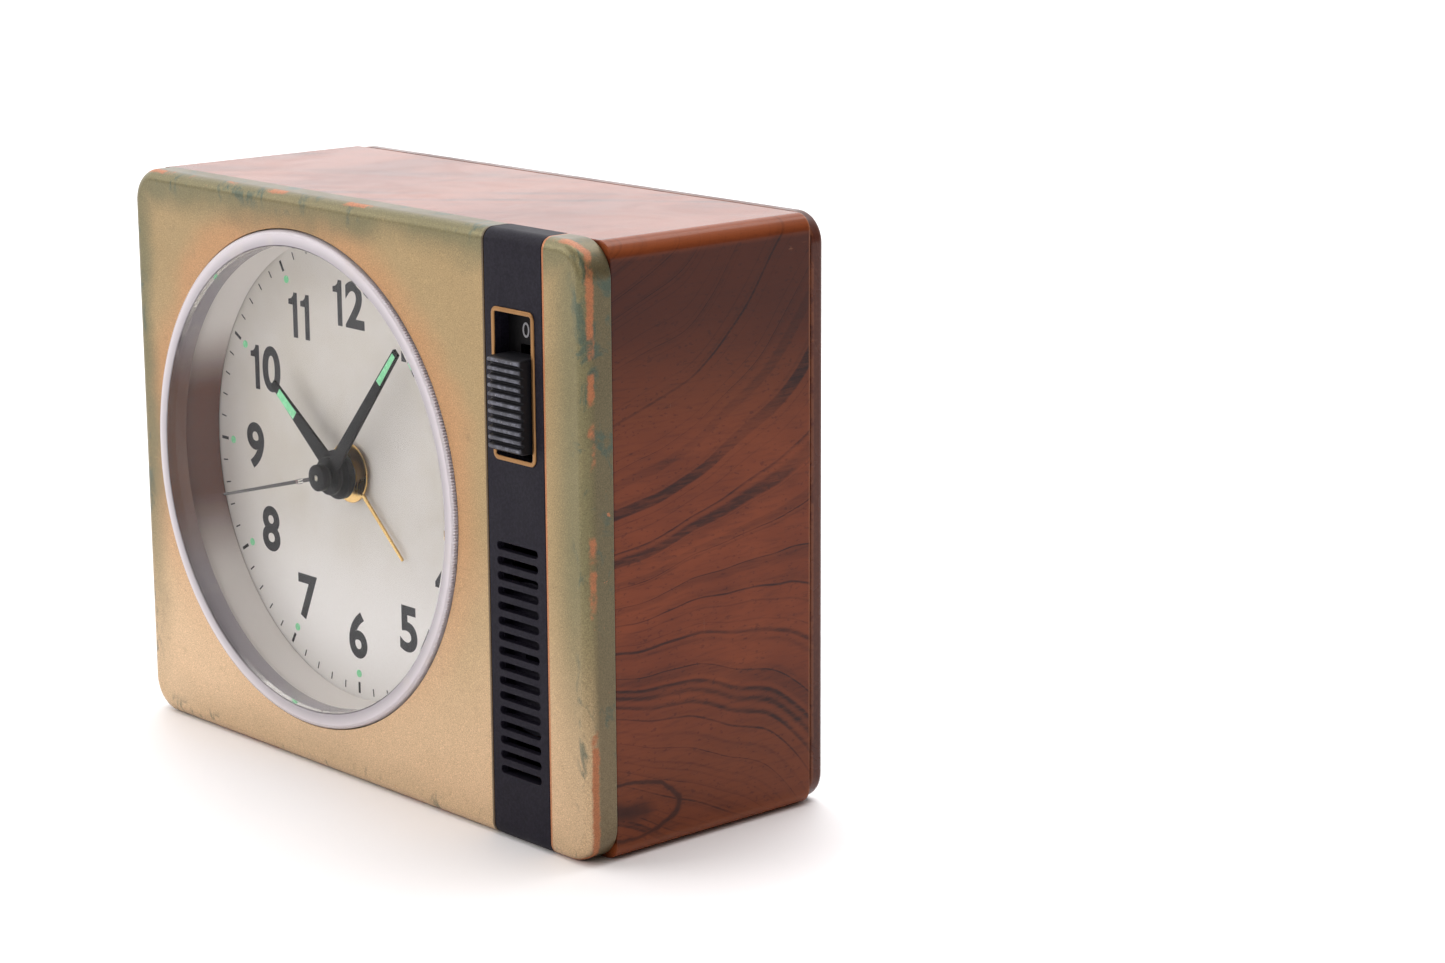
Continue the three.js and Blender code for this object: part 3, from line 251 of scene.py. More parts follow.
def carve(body, *cutters):
    """The body with every cutter taken away from it."""
    target = mesh_object("carve_target", body)
    tools = [mesh_object("carve_tool", cutter) for cutter in cutters]
    for tool in tools:
        cutting = target.modifiers.new("cut", "BOOLEAN")
        cutting.operation = "DIFFERENCE"
        cutting.solver = "EXACT"
        cutting.object = tool
    evaluated = target.evaluated_get(bpy.context.evaluated_depsgraph_get())
    result = bmesh.new()
    result.from_mesh(evaluated.to_mesh())
    evaluated.to_mesh_clear()
    for spare in [target, *tools]:
        data = spare.data
        bpy.data.objects.remove(spare)
        bpy.data.meshes.remove(data)
    bmesh.ops.remove_doubles(result, verts=result.verts, dist=0.002 * MM)
    bmesh.ops.dissolve_degenerate(result, edges=result.edges, dist=0.002 * MM)
    return result


def soften(mesh, width, angle=50, segments=2, keep=None):
    """Rounds every edge sharper than the angle, or those of them that keep() accepts."""
    sharp = [
        edge for edge in mesh.edges
        if len(edge.link_faces) == 2
        and edge.calc_face_angle(0) > math.radians(angle)
        and (keep is None or keep((edge.verts[0].co + edge.verts[1].co) / 2))
    ]
    bmesh.ops.bevel(
        mesh, geom=sharp, offset=width, segments=segments, affect="EDGES", profile=0.5, clamp_overlap=True,
    )
    return mesh


def new_piece(name, mesh, material, body, replaces=(), crease=35):
    """A finished piece of the clock, riding on a body and standing for its CAD nodes."""
    made = mesh_object(name, mesh)
    made.data.shade_smooth()
    made.data.set_sharp_from_angle(angle=math.radians(crease))
    made.data.materials.append(material)
    evening = made.modifiers.new("even_normals", "WEIGHTED_NORMAL")
    evening.keep_sharp = True
    evening.weight = 60
    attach(made, body)
    if replaces:
        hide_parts(*replaces)
    return made


# ------------------------------------------------------------------ shader wiring
def tint(red, green, blue):
    """A linear colour from display values of 0 to 255."""
    def linear(value):
        share = value / 255
        return share / 12.92 if share <= 0.04045 else ((share + 0.055) / 1.055) ** 2.4
    return (linear(red), linear(green), linear(blue), 1)


class Wires:
    """Adds nodes to one tree and joins them."""

    def __init__(self, tree):
        self.tree = tree

    def add(self, kind, inputs=None, **settings):
        made = self.tree.nodes.new(kind)
        for key, value in settings.items():
            setattr(made, key, value)
        for key, value in (inputs or {}).items():
            self.feed(made.inputs[key], value)
        return made

    def feed(self, socket, value):
        if isinstance(value, bpy.types.NodeSocket):
            self.tree.links.new(value, socket)
        else:
            socket.default_value = value

    def math(self, operation, first, second=0.0, clamp=False):
        inputs = {0: first, 1: second}
        return self.add("ShaderNodeMath", inputs, operation=operation, use_clamp=clamp).outputs[0]

    def times(self, first, second):
        return self.math("MULTIPLY", first, second)

    def plus(self, first, second, share=None):
        """The sum; with a share, only that much of the second is added."""
        return self.math("ADD", first, second if share is None else self.times(second, share))

    def minus(self, first, second, share=None):
        """The difference; with a share, only that much of the second is taken off."""
        return self.math("SUBTRACT", first, second if share is None else self.times(second, share))

    def larger(self, first, second):
        return self.math("MAXIMUM", first, second)

    def smaller(self, first, second):
        return self.math("MINIMUM", first, second)

    def apart(self, first, second):
        """How far two values lie apart."""
        return self.math("ABSOLUTE", self.minus(first, second))

    def length(self, offset):
        return self.add("ShaderNodeVectorMath", {0: offset}, operation="LENGTH").outputs["Value"]

    def vector(self, operation, first, second=(0, 0, 0)):
        return self.add("ShaderNodeVectorMath", {0: first, 1: second}, operation=operation).outputs[0]

    def blend(self, share, first, second, mode="MIX"):
        inputs = {0: share, 6: first, 7: second}
        return self.add("ShaderNodeMix", inputs, data_type="RGBA", blend_type=mode).outputs[2]

    def fade(self, value, start, end, low=0.0, high=1.0):
        """A smooth step of value: low at start, high at end."""
        inputs = {"Value": value, "From Min": start, "From Max": end, "To Min": low, "To Max": high}
        return self.add("ShaderNodeMapRange", inputs, interpolation_type="SMOOTHSTEP").outputs[0]

    def noise(self, place, size, detail=2.0, roughness=0.5, distortion=0.0):
        """Smooth noise whose features are about `size` metres across."""
        inputs = {
            "Vector": place, "Scale": 1 / size, "Detail": detail, "Roughness": roughness,
            "Distortion": distortion,
        }
        return self.add("ShaderNodeTexNoise", inputs).outputs["Fac"]

    def stretched(self, place, scale, turn=(0, 0, 0)):
        inputs = {"Vector": place, "Scale": scale, "Rotation": turn}
        return self.add("ShaderNodeMapping", inputs, vector_type="POINT").outputs[0]

    def parts(self, place):
        """The across, depth and up values of a place."""
        return self.add("ShaderNodeSeparateXYZ", {0: place}).outputs

    def place(self):
        return self.add("ShaderNodeTexCoord").outputs["Object"]

    def bump(self, height, strength, distance):
        inputs = {"Height": height, "Strength": strength, "Distance": distance}
        return self.add("ShaderNodeBump", inputs).outputs[0]

    def effect(self, group, inputs):
        """One use of a shared effect."""
        made = self.add("ShaderNodeGroup", node_tree=group)
        for key, value in inputs.items():
            self.feed(made.inputs[key], value)
        return made.outputs


def new_effect(name, inputs, outputs):
    """An empty shared effect; returns its tree, wires, input sockets and output node."""
    tree = bpy.data.node_groups.new(name, "ShaderNodeTree")
    for title, kind, value in inputs:
        socket = tree.interface.new_socket(title, in_out="INPUT", socket_type=kind)
        if value is not None:
            socket.default_value = value
    for title, kind in outputs:
        tree.interface.new_socket(title, in_out="OUTPUT", socket_type=kind)
    wires = Wires(tree)
    given = wires.add("NodeGroupInput").outputs
    result = wires.add("NodeGroupOutput").inputs
    return tree, wires, given, result


FLOAT = "NodeSocketFloat"
VECTOR = "NodeSocketVector"


def make_speckle():
    """Fine grain, as in metallic paint or moulded plastic: a value about 0.5 for colour and height."""
    tree, wires, given, result = new_effect(
        "Fine_Speckle", [("Place", VECTOR, None), ("Density", FLOAT, 3000.0)],
        [("Grain", FLOAT), ("Sparkle", FLOAT)],
    )
    grain = wires.add("ShaderNodeTexNoise", {
        "Vector": given["Place"], "Scale": given["Density"], "Detail": 2.0, "Roughness": 0.7,
    }).outputs["Fac"]
    flakes = wires.add("ShaderNodeTexVoronoi", {
        "Vector": given["Place"], "Scale": given["Density"], "Randomness": 1.0,
    }).outputs["Color"]
    shade = wires.add("ShaderNodeSeparateColor", {0: flakes}).outputs[0]
    wires.feed(result["Grain"], grain)
    wires.feed(result["Sparkle"], wires.fade(shade, 0.8, 0.98))
    return tree


def make_scratches():
    """Sparse fine hairlines in two directions: 1 on a scratch."""
    tree, wires, given, result = new_effect(
        "Hairline_Scratches", [("Place", VECTOR, None), ("Amount", FLOAT, 0.5)], [("Scratches", FLOAT)],
    )
    lines = []
    for turn, scale in (((0.3, 0.5, 0.2), (90, 1400, 110)), ((-0.6, 0.2, 1.1), (110, 90, 1600))):
        drawn = wires.stretched(given["Place"], scale, turn)
        line = wires.add("ShaderNodeTexNoise", {
            "Vector": drawn, "Scale": 0.3, "Detail": 0.0, "Distortion": 0.0,
        }).outputs["Fac"]
        off_line = wires.apart(line, 0.5)
        lines.append(wires.fade(off_line, 0.014, 0.0))
    patches = wires.noise(given["Place"], 6 * MM, 2.0)
    threshold = wires.minus(0.78, given["Amount"], 0.3)
    present = wires.fade(wires.minus(patches, threshold), 0.0, 0.08)
    wires.feed(result["Scratches"], wires.times(wires.larger(*lines), present))
    return tree


def make_handling():
    """Broad smudges and settled dust: two masks."""
    tree, wires, given, result = new_effect(
        "Smudges_And_Dust", [("Place", VECTOR, None)], [("Smudge", FLOAT), ("Dust", FLOAT)],
    )
    smudge = wires.noise(given["Place"], 14 * MM, 4.0, 0.6, 0.8)
    specks = wires.add("ShaderNodeTexVoronoi", {
        "Vector": given["Place"], "Scale": 1 / (1.3 * MM), "Randomness": 1.0,
    }).outputs["Distance"]
    rare = wires.fade(wires.noise(given["Place"], 3.1 * MM, 1.0), 0.56, 0.64)
    dust = wires.times(wires.fade(specks, 0.1, 0.03), rare)
    wires.feed(result["Smudge"], wires.fade(smudge, 0.35, 0.7))
    wires.feed(result["Dust"], dust)
    return tree


def make_edge_place():
    """How far a point lies from the edges of the clock's front outline, in metres."""
    tree, wires, given, result = new_effect(
        "Front_Edge_Distance", [("Place", VECTOR, None)],
        [("Edge", FLOAT), ("Depth", FLOAT), ("Right", FLOAT)],
    )
    x, y, z = wires.parts(given["Place"])
    right = wires.minus(WIDTH / 2, x)
    left = wires.plus(x, WIDTH / 2)
    top = wires.minus(HEIGHT, z)
    sides = wires.smaller(right, left)
    ends = wires.smaller(top, z)
    wires.feed(result["Edge"], wires.smaller(sides, ends))
    wires.feed(result["Depth"], wires.minus(y, FRONT))
    wires.feed(result["Right"], right)
    return tree


SPECKLE = make_speckle()
SCRATCHES = make_scratches()
HANDLING = make_handling()
EDGE_PLACE = make_edge_place()


def speckled(wires, place, density):
    return wires.effect(SPECKLE, {"Place": place, "Density": density})


def scratched(wires, place, amount):
    return wires.effect(SCRATCHES, {"Place": place, "Amount": amount})["Scratches"]


def handled(wires, place):
    return wires.effect(HANDLING, {"Place": place})


def new_finish(name):
    """An empty material; returns it with its wires, its shader's sockets and the object place."""
    material = bpy.data.materials.new(name)
    material.use_nodes = True
    material.node_tree.nodes.clear()
    wires = Wires(material.node_tree)
    shader = wires.add("ShaderNodeBsdfPrincipled")
    wires.add("ShaderNodeOutputMaterial", {"Surface": shader.outputs[0]})
    return material, wires, shader.inputs, wires.place()


# ------------------------------------------------------------------ front frame
def build_bezel(paint):
    pairs = quarter_rounds(FRONT, BEZEL_BACK, BEZEL_FILLET, 0.25 * MM, 8)
    body = slab(0, MIDDLE_Z, WIDTH, HEIGHT, BEZEL_CORNER, pairs, 12)
    inside_width = WIDTH - 2 * BEZEL_WALL
    inside_height = HEIGHT - 2 * BEZEL_WALL
    inside_corner = BEZEL_CORNER - BEZEL_WALL / 2
    pocket = plain_slab(
        0, MIDDLE_Z, inside_width, inside_height, inside_corner, FRONT + BEZEL_WALL, BEZEL_BACK + MM,
    )
    before, behind = FRONT - MM, FRONT + 4 * MM
    lens_reach = LENS_RADIUS + 0.2 * MM
    lens_hole = turned(DIAL_X, DIAL_Z, [(lens_reach, before), (lens_reach, behind)], 160)
    channel = strip_section(STRIP_WIDTH + 2 * SEAM, STRIP_THICKNESS + SEAM, MM)
    window = plain_slab(STRIP_X, WINDOW_Z, TRIM_WIDTH, TRIM_HEIGHT, 0.1 * MM, before, behind)
    sound_hole = plain_slab(
        STRIP_X, SLOT_FIELD_Z, SLOT_LENGTH, SLOT_FIELD_HEIGHT, 0.1 * MM, before, behind,
    )
    shell = carve(body, pocket, lens_hole, channel, window, sound_hole)
    soften(shell, 0.12 * MM, angle=60, keep=lambda place: place.y < FRONT + 0.3 * MM)
    posts = []
    foot = FRONT + BEZEL_WALL - 0.3 * MM
    for screw, end in (("case_screw", BEZEL_HIGH.y), ("plate_screw", DIAL_HIGH.y)):
        for number in range(1, 5):
            x, z = axis_of(f"{screw}_{number}")
            posts.append(turned(x, z, [(SCREW_POST_RADIUS, foot), (SCREW_POST_RADIUS, end)], 24))
    whole = together(shell, *posts)
    return new_piece("gold_front_frame", whole, paint, "case", ["front_bezel"])


def strip_section(width, thickness, spill):
    """The strip's C-shaped solid: the front face and the two bands that run back from it."""
    def side_view(low, high, front, back, fillet):
        outline = [Vector((back, low)), Vector((back, high))]
        for turn, corner_z in ((1, high - fillet), (-1, low + fillet)):
            steps = range(9) if turn > 0 else range(8, -1, -1)
            for step in steps:
                angle = RIGHT_ANGLE * step / 8
                depth = front + fillet * (1 - math.sin(angle))
                outline.append(Vector((depth, corner_z + turn * fillet * math.cos(angle))))
        return outline
    outer = side_view(-spill, HEIGHT + spill, FRONT - spill, BEZEL_BACK + spill, BEZEL_FILLET)
    inner = side_view(
        thickness, HEIGHT - thickness, FRONT + thickness, BEZEL_BACK + 2 * spill + MM,
        max(BEZEL_FILLET - thickness, 0.3 * MM),
    )
    whole = across(outer, STRIP_X, width, 0.15 * MM if spill == 0 else 0.001 * MM)
    core = across(inner, STRIP_X, width + 4 * MM, 0.001 * MM)
    return carve(whole, core)


def build_strip(plastic):
    body = strip_section(STRIP_WIDTH, STRIP_THICKNESS, 0)
    opening_width = TRIM_WIDTH - 2 * TRIM_LINE
    opening_height = TRIM_HEIGHT - 2 * TRIM_LINE
    before, behind = FRONT - MM, FRONT + 2 * MM
    opening = plain_slab(
        STRIP_X, WINDOW_Z, opening_width, opening_height, 0.4 * MM, before, behind, 4,
    )
    cutters = [opening]
    slot_round = SLOT_HEIGHT / 2 - 0.01 * MM
    for i in range(SLOT_COUNT):
        z = SLOT_FIELD_Z + ((SLOT_COUNT - 1) / 2 - i) * SLOT_PITCH
        cutters.append(plain_slab(STRIP_X, z, SLOT_LENGTH, SLOT_HEIGHT, slot_round, before, behind, 6))
    body = carve(body, together(*cutters))
    on_face = FRONT + 0.02 * MM
    soften(body, 0.09 * MM, angle=60, keep=lambda place: place.y < on_face)
    trim = 0.4 * MM
    window_skirt = skirt(WINDOW_Z, opening_width, opening_height, GUIDE_LOW.y - SEAM)
    sound_skirt = skirt(SLOT_FIELD_Z, SLOT_LENGTH - trim, SLOT_FIELD_HEIGHT - trim, BUZZER_LOW.y - SEAM)
    whole = together(body, window_skirt, sound_skirt)
    return new_piece(
        "switch_and_sound_strip", whole, plastic, "case", ["fascia_strip"],
    )


def skirt(z, width, height, back):
    """The thin wall behind an opening of the strip, running back to `back`."""
    front = FRONT + STRIP_THICKNESS - 0.2 * MM
    wall = 0.3 * MM
    outside = rounded_outline(width + wall, height + wall, 0.5 * MM, 4)
    inside = rounded_outline(width - wall / 2, height - wall / 2, 0.4 * MM, 4)
    section = ((outside, front), (outside, back), (inside, back), (inside, front))
    return skin([drawn_at(STRIP_X, z, depth, outline) for outline, depth in section], closed=True)


def build_switch_trim(gilt):
    rise = 0.16 * MM
    section = [
        (0, TRIM_HIGH.y), (0, TRIM_LOW.y + rise), (rise / 3, TRIM_LOW.y + rise / 3), (rise, TRIM_LOW.y),
        (TRIM_LINE - rise, TRIM_LOW.y), (TRIM_LINE - rise / 3, TRIM_LOW.y + rise / 3),
        (TRIM_LINE, TRIM_LOW.y + rise), (TRIM_LINE, TRIM_HIGH.y),
    ]
    line = slab(STRIP_X, WINDOW_Z, TRIM_WIDTH, TRIM_HEIGHT, 1.1 * MM, section, 8, closed=True)
    return new_piece("switch_window_trim", line, gilt, "case", ["switch_frame"])


def build_switch_floor(plastic):
    plate = plain_slab(
        STRIP_X, WINDOW_Z, GUIDE_HIGH.x - GUIDE_LOW.x, GUIDE_HIGH.z - GUIDE_LOW.z, 0.5 * MM,
        GUIDE_LOW.y, GUIDE_HIGH.y, 4,
    )
    stem_slot = plain_slab(
        STRIP_X, (SWITCH_LOW.z + SWITCH_HIGH.z + SWITCH_TRAVEL) / 2,
        2.8 * MM, 6.4 * MM + SWITCH_TRAVEL, 0.3 * MM,
        GUIDE_LOW.y - MM, GUIDE_HIGH.y + MM, 4,
    )
    return new_piece(
        "switch_recess_floor", carve(plate, stem_slot), plastic,
        "case", ["switch_guide"],
    )


def build_off_mark(print_ink):
    """The small ring-shaped nought above the switch knob."""
    middle_z = (SWITCH_HIGH.z + TRIM_HIGH.z - TRIM_LINE) / 2 + 0.35 * MM
    front = GUIDE_LOW.y - 0.02 * MM
    rings = []
    for (half_width, half_height), depth in (
        ((0.75 * MM, 1.1 * MM), GUIDE_LOW.y), ((0.75 * MM, 1.1 * MM), front),
        ((0.45 * MM, 0.8 * MM), front), ((0.45 * MM, 0.8 * MM), GUIDE_LOW.y),
    ):
        ring = []
        for step in range(32):
            angle = 2 * math.pi * step / 32
            ring.append(Vector((
                STRIP_X - 0.2 * MM + half_width * math.cos(angle),
                depth,
                middle_z + half_height * math.sin(angle),
            )))
        rings.append(ring)
    return new_piece("switch_off_mark", skin(rings, closed=True), print_ink, "case")


def build_switch_knob(plastic):
    ribs = 11
    groove = 0.75 * MM
    pitch = (SWITCH_HIGH.z - SWITCH_LOW.z) / ribs
    back = GUIDE_LOW.y - 0.2 * MM
    outline = [Vector((back, SWITCH_LOW.z))]
    for i in range(ribs):
        middle = SWITCH_LOW.z + (i + 0.5) * pitch
        for share, sink in (
            (-0.44, 1), (-0.28, 0.7), (-0.16, 0.12), (-0.06, 0),
            (0.14, 0), (0.24, 0.1), (0.32, 0.6), (0.42, 1),
        ):
            outline.append(Vector((SWITCH_LOW.y + sink * groove, middle + share * pitch)))
    outline.append(Vector((back, SWITCH_HIGH.z)))
    body = across(outline, STRIP_X, SWITCH_HIGH.x - SWITCH_LOW.x, 0.3 * MM, 4)
    middle_z = (SWITCH_LOW.z + SWITCH_HIGH.z) / 2
    stem = plain_slab(
        STRIP_X, middle_z, 2.4 * MM, 6 * MM, 0.2 * MM, back - 0.3 * MM, SWITCH_HIGH.y,
    )
    return new_piece(
        "alarm_slide_knob", together(body, stem), plastic, "alarm_switch",
        ["alarm_switch_knob"], crease=50,
    )


# ------------------------------------------------------------------ lens, surround and dial
LENS_FRONT = LENS_LOW.y + 0.35 * MM
LENS_RING = 2.5 * MM
LENS_BACK = LENS_HIGH.y


def build_lens_window(clear):
    edge = LENS_RADIUS - LENS_RING
    thickness = 1.2 * MM
    front = [(edge, LENS_FRONT + 0.05 * MM)]
    for step in range(1, 8):
        share = 1 - step / 8
        front.append((edge * share, LENS_FRONT + 0.05 * MM - 0.35 * MM * (1 - share * share)))
    front.append((0.4 * MM, LENS_LOW.y + 0.05 * MM))
    back = [(radius, depth + thickness) for radius, depth in reversed(front)]
    return new_piece(
        "lens_window", turned(DIAL_X, DIAL_Z, back + front, 96, closed=True), clear, "case",
        ["lens"], crease=60,
    )


def build_lens_edge(frosted):
    """The standing edge of the lens, its outer wall cut into fine upright serrations."""
    serrations = 520
    notch = 0.28 * MM
    inner = LENS_RADIUS - LENS_RING + 0.03 * MM
    section = [
        (inner, LENS_BACK, 0), (inner, LENS_FRONT + 0.22 * MM, 0), (inner + 0.2 * MM, LENS_FRONT, 0),
        (LENS_RADIUS - 0.85 * MM, LENS_FRONT - 0.05 * MM, 0),
        (LENS_RADIUS - 0.6 * MM, LENS_FRONT - 0.02 * MM, 0),
        (LENS_RADIUS - 0.45 * MM, LENS_FRONT + 0.04 * MM, 0.5),
        (LENS_RADIUS - 0.08 * MM, LENS_FRONT + 0.25 * MM, 1),
        (LENS_RADIUS, LENS_FRONT + 0.45 * MM, 1), (LENS_RADIUS, FRONT + BEZEL_WALL, 1),
        (LENS_RADIUS + LENS_FLANGE, FRONT + BEZEL_WALL + SEAM, 0),
        (LENS_RADIUS + LENS_FLANGE, LENS_BACK, 0),
    ]
    rings = []
    for radius, depth, share in section:
        notched = radius - share * notch
        rings.append(circle_at(DIAL_X, DIAL_Z, depth, [radius, notched] * serrations))
    ring = skin(rings, closed=True)
    return new_piece("lens_edge_ring", ring, frosted, "case", ["lens"], crease=30)


def build_surround(white):
    inner = LENS_RADIUS - 1.3 * MM
    outer = (SURROUND_HIGH.x - SURROUND_LOW.x) / 2
    front, back = SURROUND_LOW.y, SURROUND_HIGH.y
    flange = front + 0.9 * MM
    section = [
        (inner + 0.25 * MM, front), (outer, front), (outer, flange), (inner + 1.1 * MM, flange),
        (inner + 1.1 * MM, back), (inner - 0.85 * MM, back), (inner - MM, back - 0.2 * MM),
        (inner - 0.62 * MM, (front + back) / 2), (inner - 0.1 * MM, front + 0.5 * MM),
        (inner, front + 0.15 * MM),
    ]
    return new_piece(
        "dial_surround_ring", turned(DIAL_X, DIAL_Z, section, 160, closed=True), white, "case",
        ["dial_surround"],
    )


def build_dial(cream):
    outer = (DIAL_HIGH.x - DIAL_LOW.x) / 2
    hole = 2.8 * MM
    section = [(hole, DIAL_FACE), (outer, DIAL_FACE), (outer, DIAL_HIGH.y), (hole, DIAL_HIGH.y)]
    plate = turned(DIAL_X, DIAL_Z, section, 160, closed=True)
    return new_piece("dial_plate", plate, cream, "case", ["dial"])


NUMERAL_HEIGHT = 7.2 * MM
NUMERAL_RING = 26.4 * MM
PRINT_RISE = 0.03 * MM
FIGURE_GAP = 0.85 * MM


def dial_place(hours, radius):
    """The point on the dial at a distance from the centre, at an hour of twelve."""
    angle = math.radians(30 * hours)
    return DIAL_X + radius * math.sin(angle), DIAL_Z + radius * math.cos(angle)


def figure_one():
    """The figure 1: an upright bar with a flag that droops to the left of its head."""
    height = NUMERAL_HEIGHT
    bar = 1.2 * MM
    outline = [
        (0, 0), (bar, 0), (bar, height), (0.25 * bar, height), (0.05 * bar, height - 0.6 * MM),
        (-0.35 * bar, height - 1.0 * MM), (-0.95 * bar, height - 1.15 * MM),
        (-0.95 * bar, height - 2.0 * MM), (0, height - 2.0 * MM),
    ]
    half = PRINT_RISE / 2
    return skin([[Vector((right, up, lift)) for right, up in outline] for lift in (-half, half)])


def figure(character):
    """One figure as a thin flat mesh."""
    if character == "1":
        return figure_one()
    words = bpy.data.curves.new("figure", "FONT")
    words.body = character
    words.size = NUMERAL_HEIGHT * 1.37
    words.offset = 0.3 * MM
    words.extrude = PRINT_RISE / 2
    words.resolution_u = 6
    holder = bpy.data.objects.new("figure", words)
    bpy.context.scene.collection.objects.link(holder)
    evaluated = holder.evaluated_get(bpy.context.evaluated_depsgraph_get())
    mesh = bmesh.new()
    mesh.from_mesh(evaluated.to_mesh())
    evaluated.to_mesh_clear()
    bpy.data.objects.remove(holder)
    bpy.data.curves.remove(words)
    return mesh


def numeral(hour):
    """One hour numeral, its figures side by side, standing on the dial."""
    figures = []
    start = 0.0
    for character in str(hour):
        mesh = figure(character)
        left = min(vert.co.x for vert in mesh.verts)
        foot = min(vert.co.y for vert in mesh.verts)
        bmesh.ops.translate(mesh, verts=mesh.verts, vec=(start - left, -foot, 0))
        start = max(vert.co.x for vert in mesh.verts) + FIGURE_GAP
        figures.append(mesh)
    mesh = together(*figures)
    x, z = dial_place(hour, NUMERAL_RING)
    x -= (start - FIGURE_GAP) / 2
    z -= max(vert.co.y for vert in mesh.verts) / 2
    for vert in mesh.verts:
        vert.co = Vector((x + vert.co.x, DIAL_FACE - vert.co.z, z + vert.co.y))
    bmesh.ops.recalc_face_normals(mesh, faces=mesh.faces)
    return mesh


def tick(minute, inner, outer, width):
    """One radial line printed on the dial."""
    angle = math.radians(6 * minute)
    along = Vector((math.sin(angle), 0, math.cos(angle)))
    aside = Vector((math.cos(angle), 0, -math.sin(angle))) * width / 2
    middle = Vector((DIAL_X, 0, DIAL_Z))
    rings = []
    near, far = along * inner, along * outer
    for depth in (DIAL_FACE, DIAL_FACE - PRINT_RISE):
        corners = [near - aside, near + aside, far + aside, far - aside]
        rings.append([middle + corner + Vector((0, depth, 0)) for corner in corners])
    return skin(rings)


def build_dial_print(ink):
    marks = [numeral(hour) for hour in range(1, 13)]
    for minute in range(60):
        if minute % 5 == 0:
            marks.append(tick(minute, HOUR_TICK_START, TICK_END, 0.5 * MM))
        else:
            marks.append(tick(minute, MINUTE_TICK_START, TICK_END, 0.22 * MM))
    return new_piece("dial_numerals", together(*marks), ink, "case")


def build_lume_dots(luminous):
    dots = []
    for hour in range(12):
        x, z = dial_place(hour, LUME_DOT_REACH)
        dots.append(turned(x, z, [
            (0.62 * MM, DIAL_FACE), (0.58 * MM, DIAL_FACE - 0.08 * MM), (0.4 * MM, DIAL_FACE - 0.13 * MM),
            (0.05 * MM, DIAL_FACE - 0.15 * MM),
        ], 20))
    return new_piece("dial_hour_dots", together(*dots), luminous, "case")


# ------------------------------------------------------------------ hands
def on_hand(mesh, angle):
    """Turns a mesh made pointing up from the origin to its place on the dial."""
    place = Matrix.Translation((DIAL_X, 0, DIAL_Z)) @ Matrix.Rotation(math.radians(angle), 4, "Y")
    bmesh.ops.transform(mesh, matrix=place, verts=mesh.verts)
    return mesh


def blade(start, end, width, tip, front, thickness):
    """A flat bar along the hand, a little rounded on its edges and narrowed at its tip."""
    length = end - start
    mesh = slab(
        0, start + length / 2, width, length, 0.12 * MM,
        quarter_rounds(front, front + thickness, 0.1 * MM, 0.05 * MM, 2), 3,
    )
    for vert in mesh.verts:
        reach = (vert.co.z - (end - width)) / width
        if reach > 0:
            vert.co.x *= 1 - (1 - tip) * reach
    return mesh


def boss(radius, front, length, bore=0.3 * MM):
    edge = 0.18 * MM
    section = [
        (bore, front), (radius - edge, front), (radius - edge * 0.3, front + edge * 0.3),
        (radius, front + edge), (radius, front + length - edge), (radius - edge, front + length),
        (bore, front + length),
    ]
    return turned(0, 0, section, 48, closed=True)


def build_minute_hand(black, luminous):
    low, high = span("minute_hand")
    angle, front, length = MINUTE_HAND_ANGLE, low.y, MINUTE_HAND_LENGTH
    bar = blade(1.5 * MM, length, MINUTE_HAND_WIDTH, 0.55, front, HAND_THICKNESS)
    collar = boss(1.5 * MM, front - 0.5 * MM, 0.9 * MM)
    solid = on_hand(together(bar, boss(3 * MM, front, high.y - front), collar), angle)
    new_piece("minute_hand_bar", solid, black, "minutes", ["minute_hand"])
    glow = blade(21.7 * MM, length - 0.6 * MM, 1.15 * MM, 0.75, front - GLOW_RISE, GLOW_THICKNESS)
    new_piece("minute_hand_insert", on_hand(glow, angle), luminous, "minutes")


def build_hour_hand(black, luminous):
    low, high = span("hour_hand")
    angle, front = HOUR_HAND_ANGLE, low.y
    bar = blade(2.5 * MM, HOUR_HAND_LENGTH, HOUR_HAND_WIDTH, 0.4, front, HAND_THICKNESS)
    solid = on_hand(together(bar, boss(3.9 * MM, front, high.y - front, 1.6 * MM)), angle)
    new_piece("hour_hand_bar", solid, black, "hours", ["hour_hand"])
    glow = blade(12.9 * MM, 18.3 * MM, 1.6 * MM, 0.85, front - GLOW_RISE, GLOW_THICKNESS)
    new_piece("hour_hand_insert", on_hand(glow, angle), luminous, "hours")


def build_second_hand(dark, grey):
    low, high = span("second_hand")
    angle, front = 255, low.y
    cap = on_hand(boss(2.1 * MM, front, high.y - front), angle)
    new_piece("second_hand_cap", cap, dark, "seconds", ["second_hand"])
    needle = blade(1.8 * MM, 27.5 * MM, 0.65 * MM, 0.6, front + 0.6 * MM, NEEDLE_THICKNESS)
    new_piece("second_hand_needle", on_hand(needle, angle), grey, "seconds")


def build_alarm_hand(gilt):
    low, high = span("alarm_hand")
    angle, front = 131.5, low.y
    needle = blade(4 * MM, 17.8 * MM, 0.7 * MM, 0.6, front, NEEDLE_THICKNESS)
    disc = boss(4.8 * MM, front, high.y - front, 2.35 * MM)
    solid = on_hand(together(needle, disc), angle)
    new_piece("alarm_hand_pointer", solid, gilt, "alarm_pointer", ["alarm_hand"])


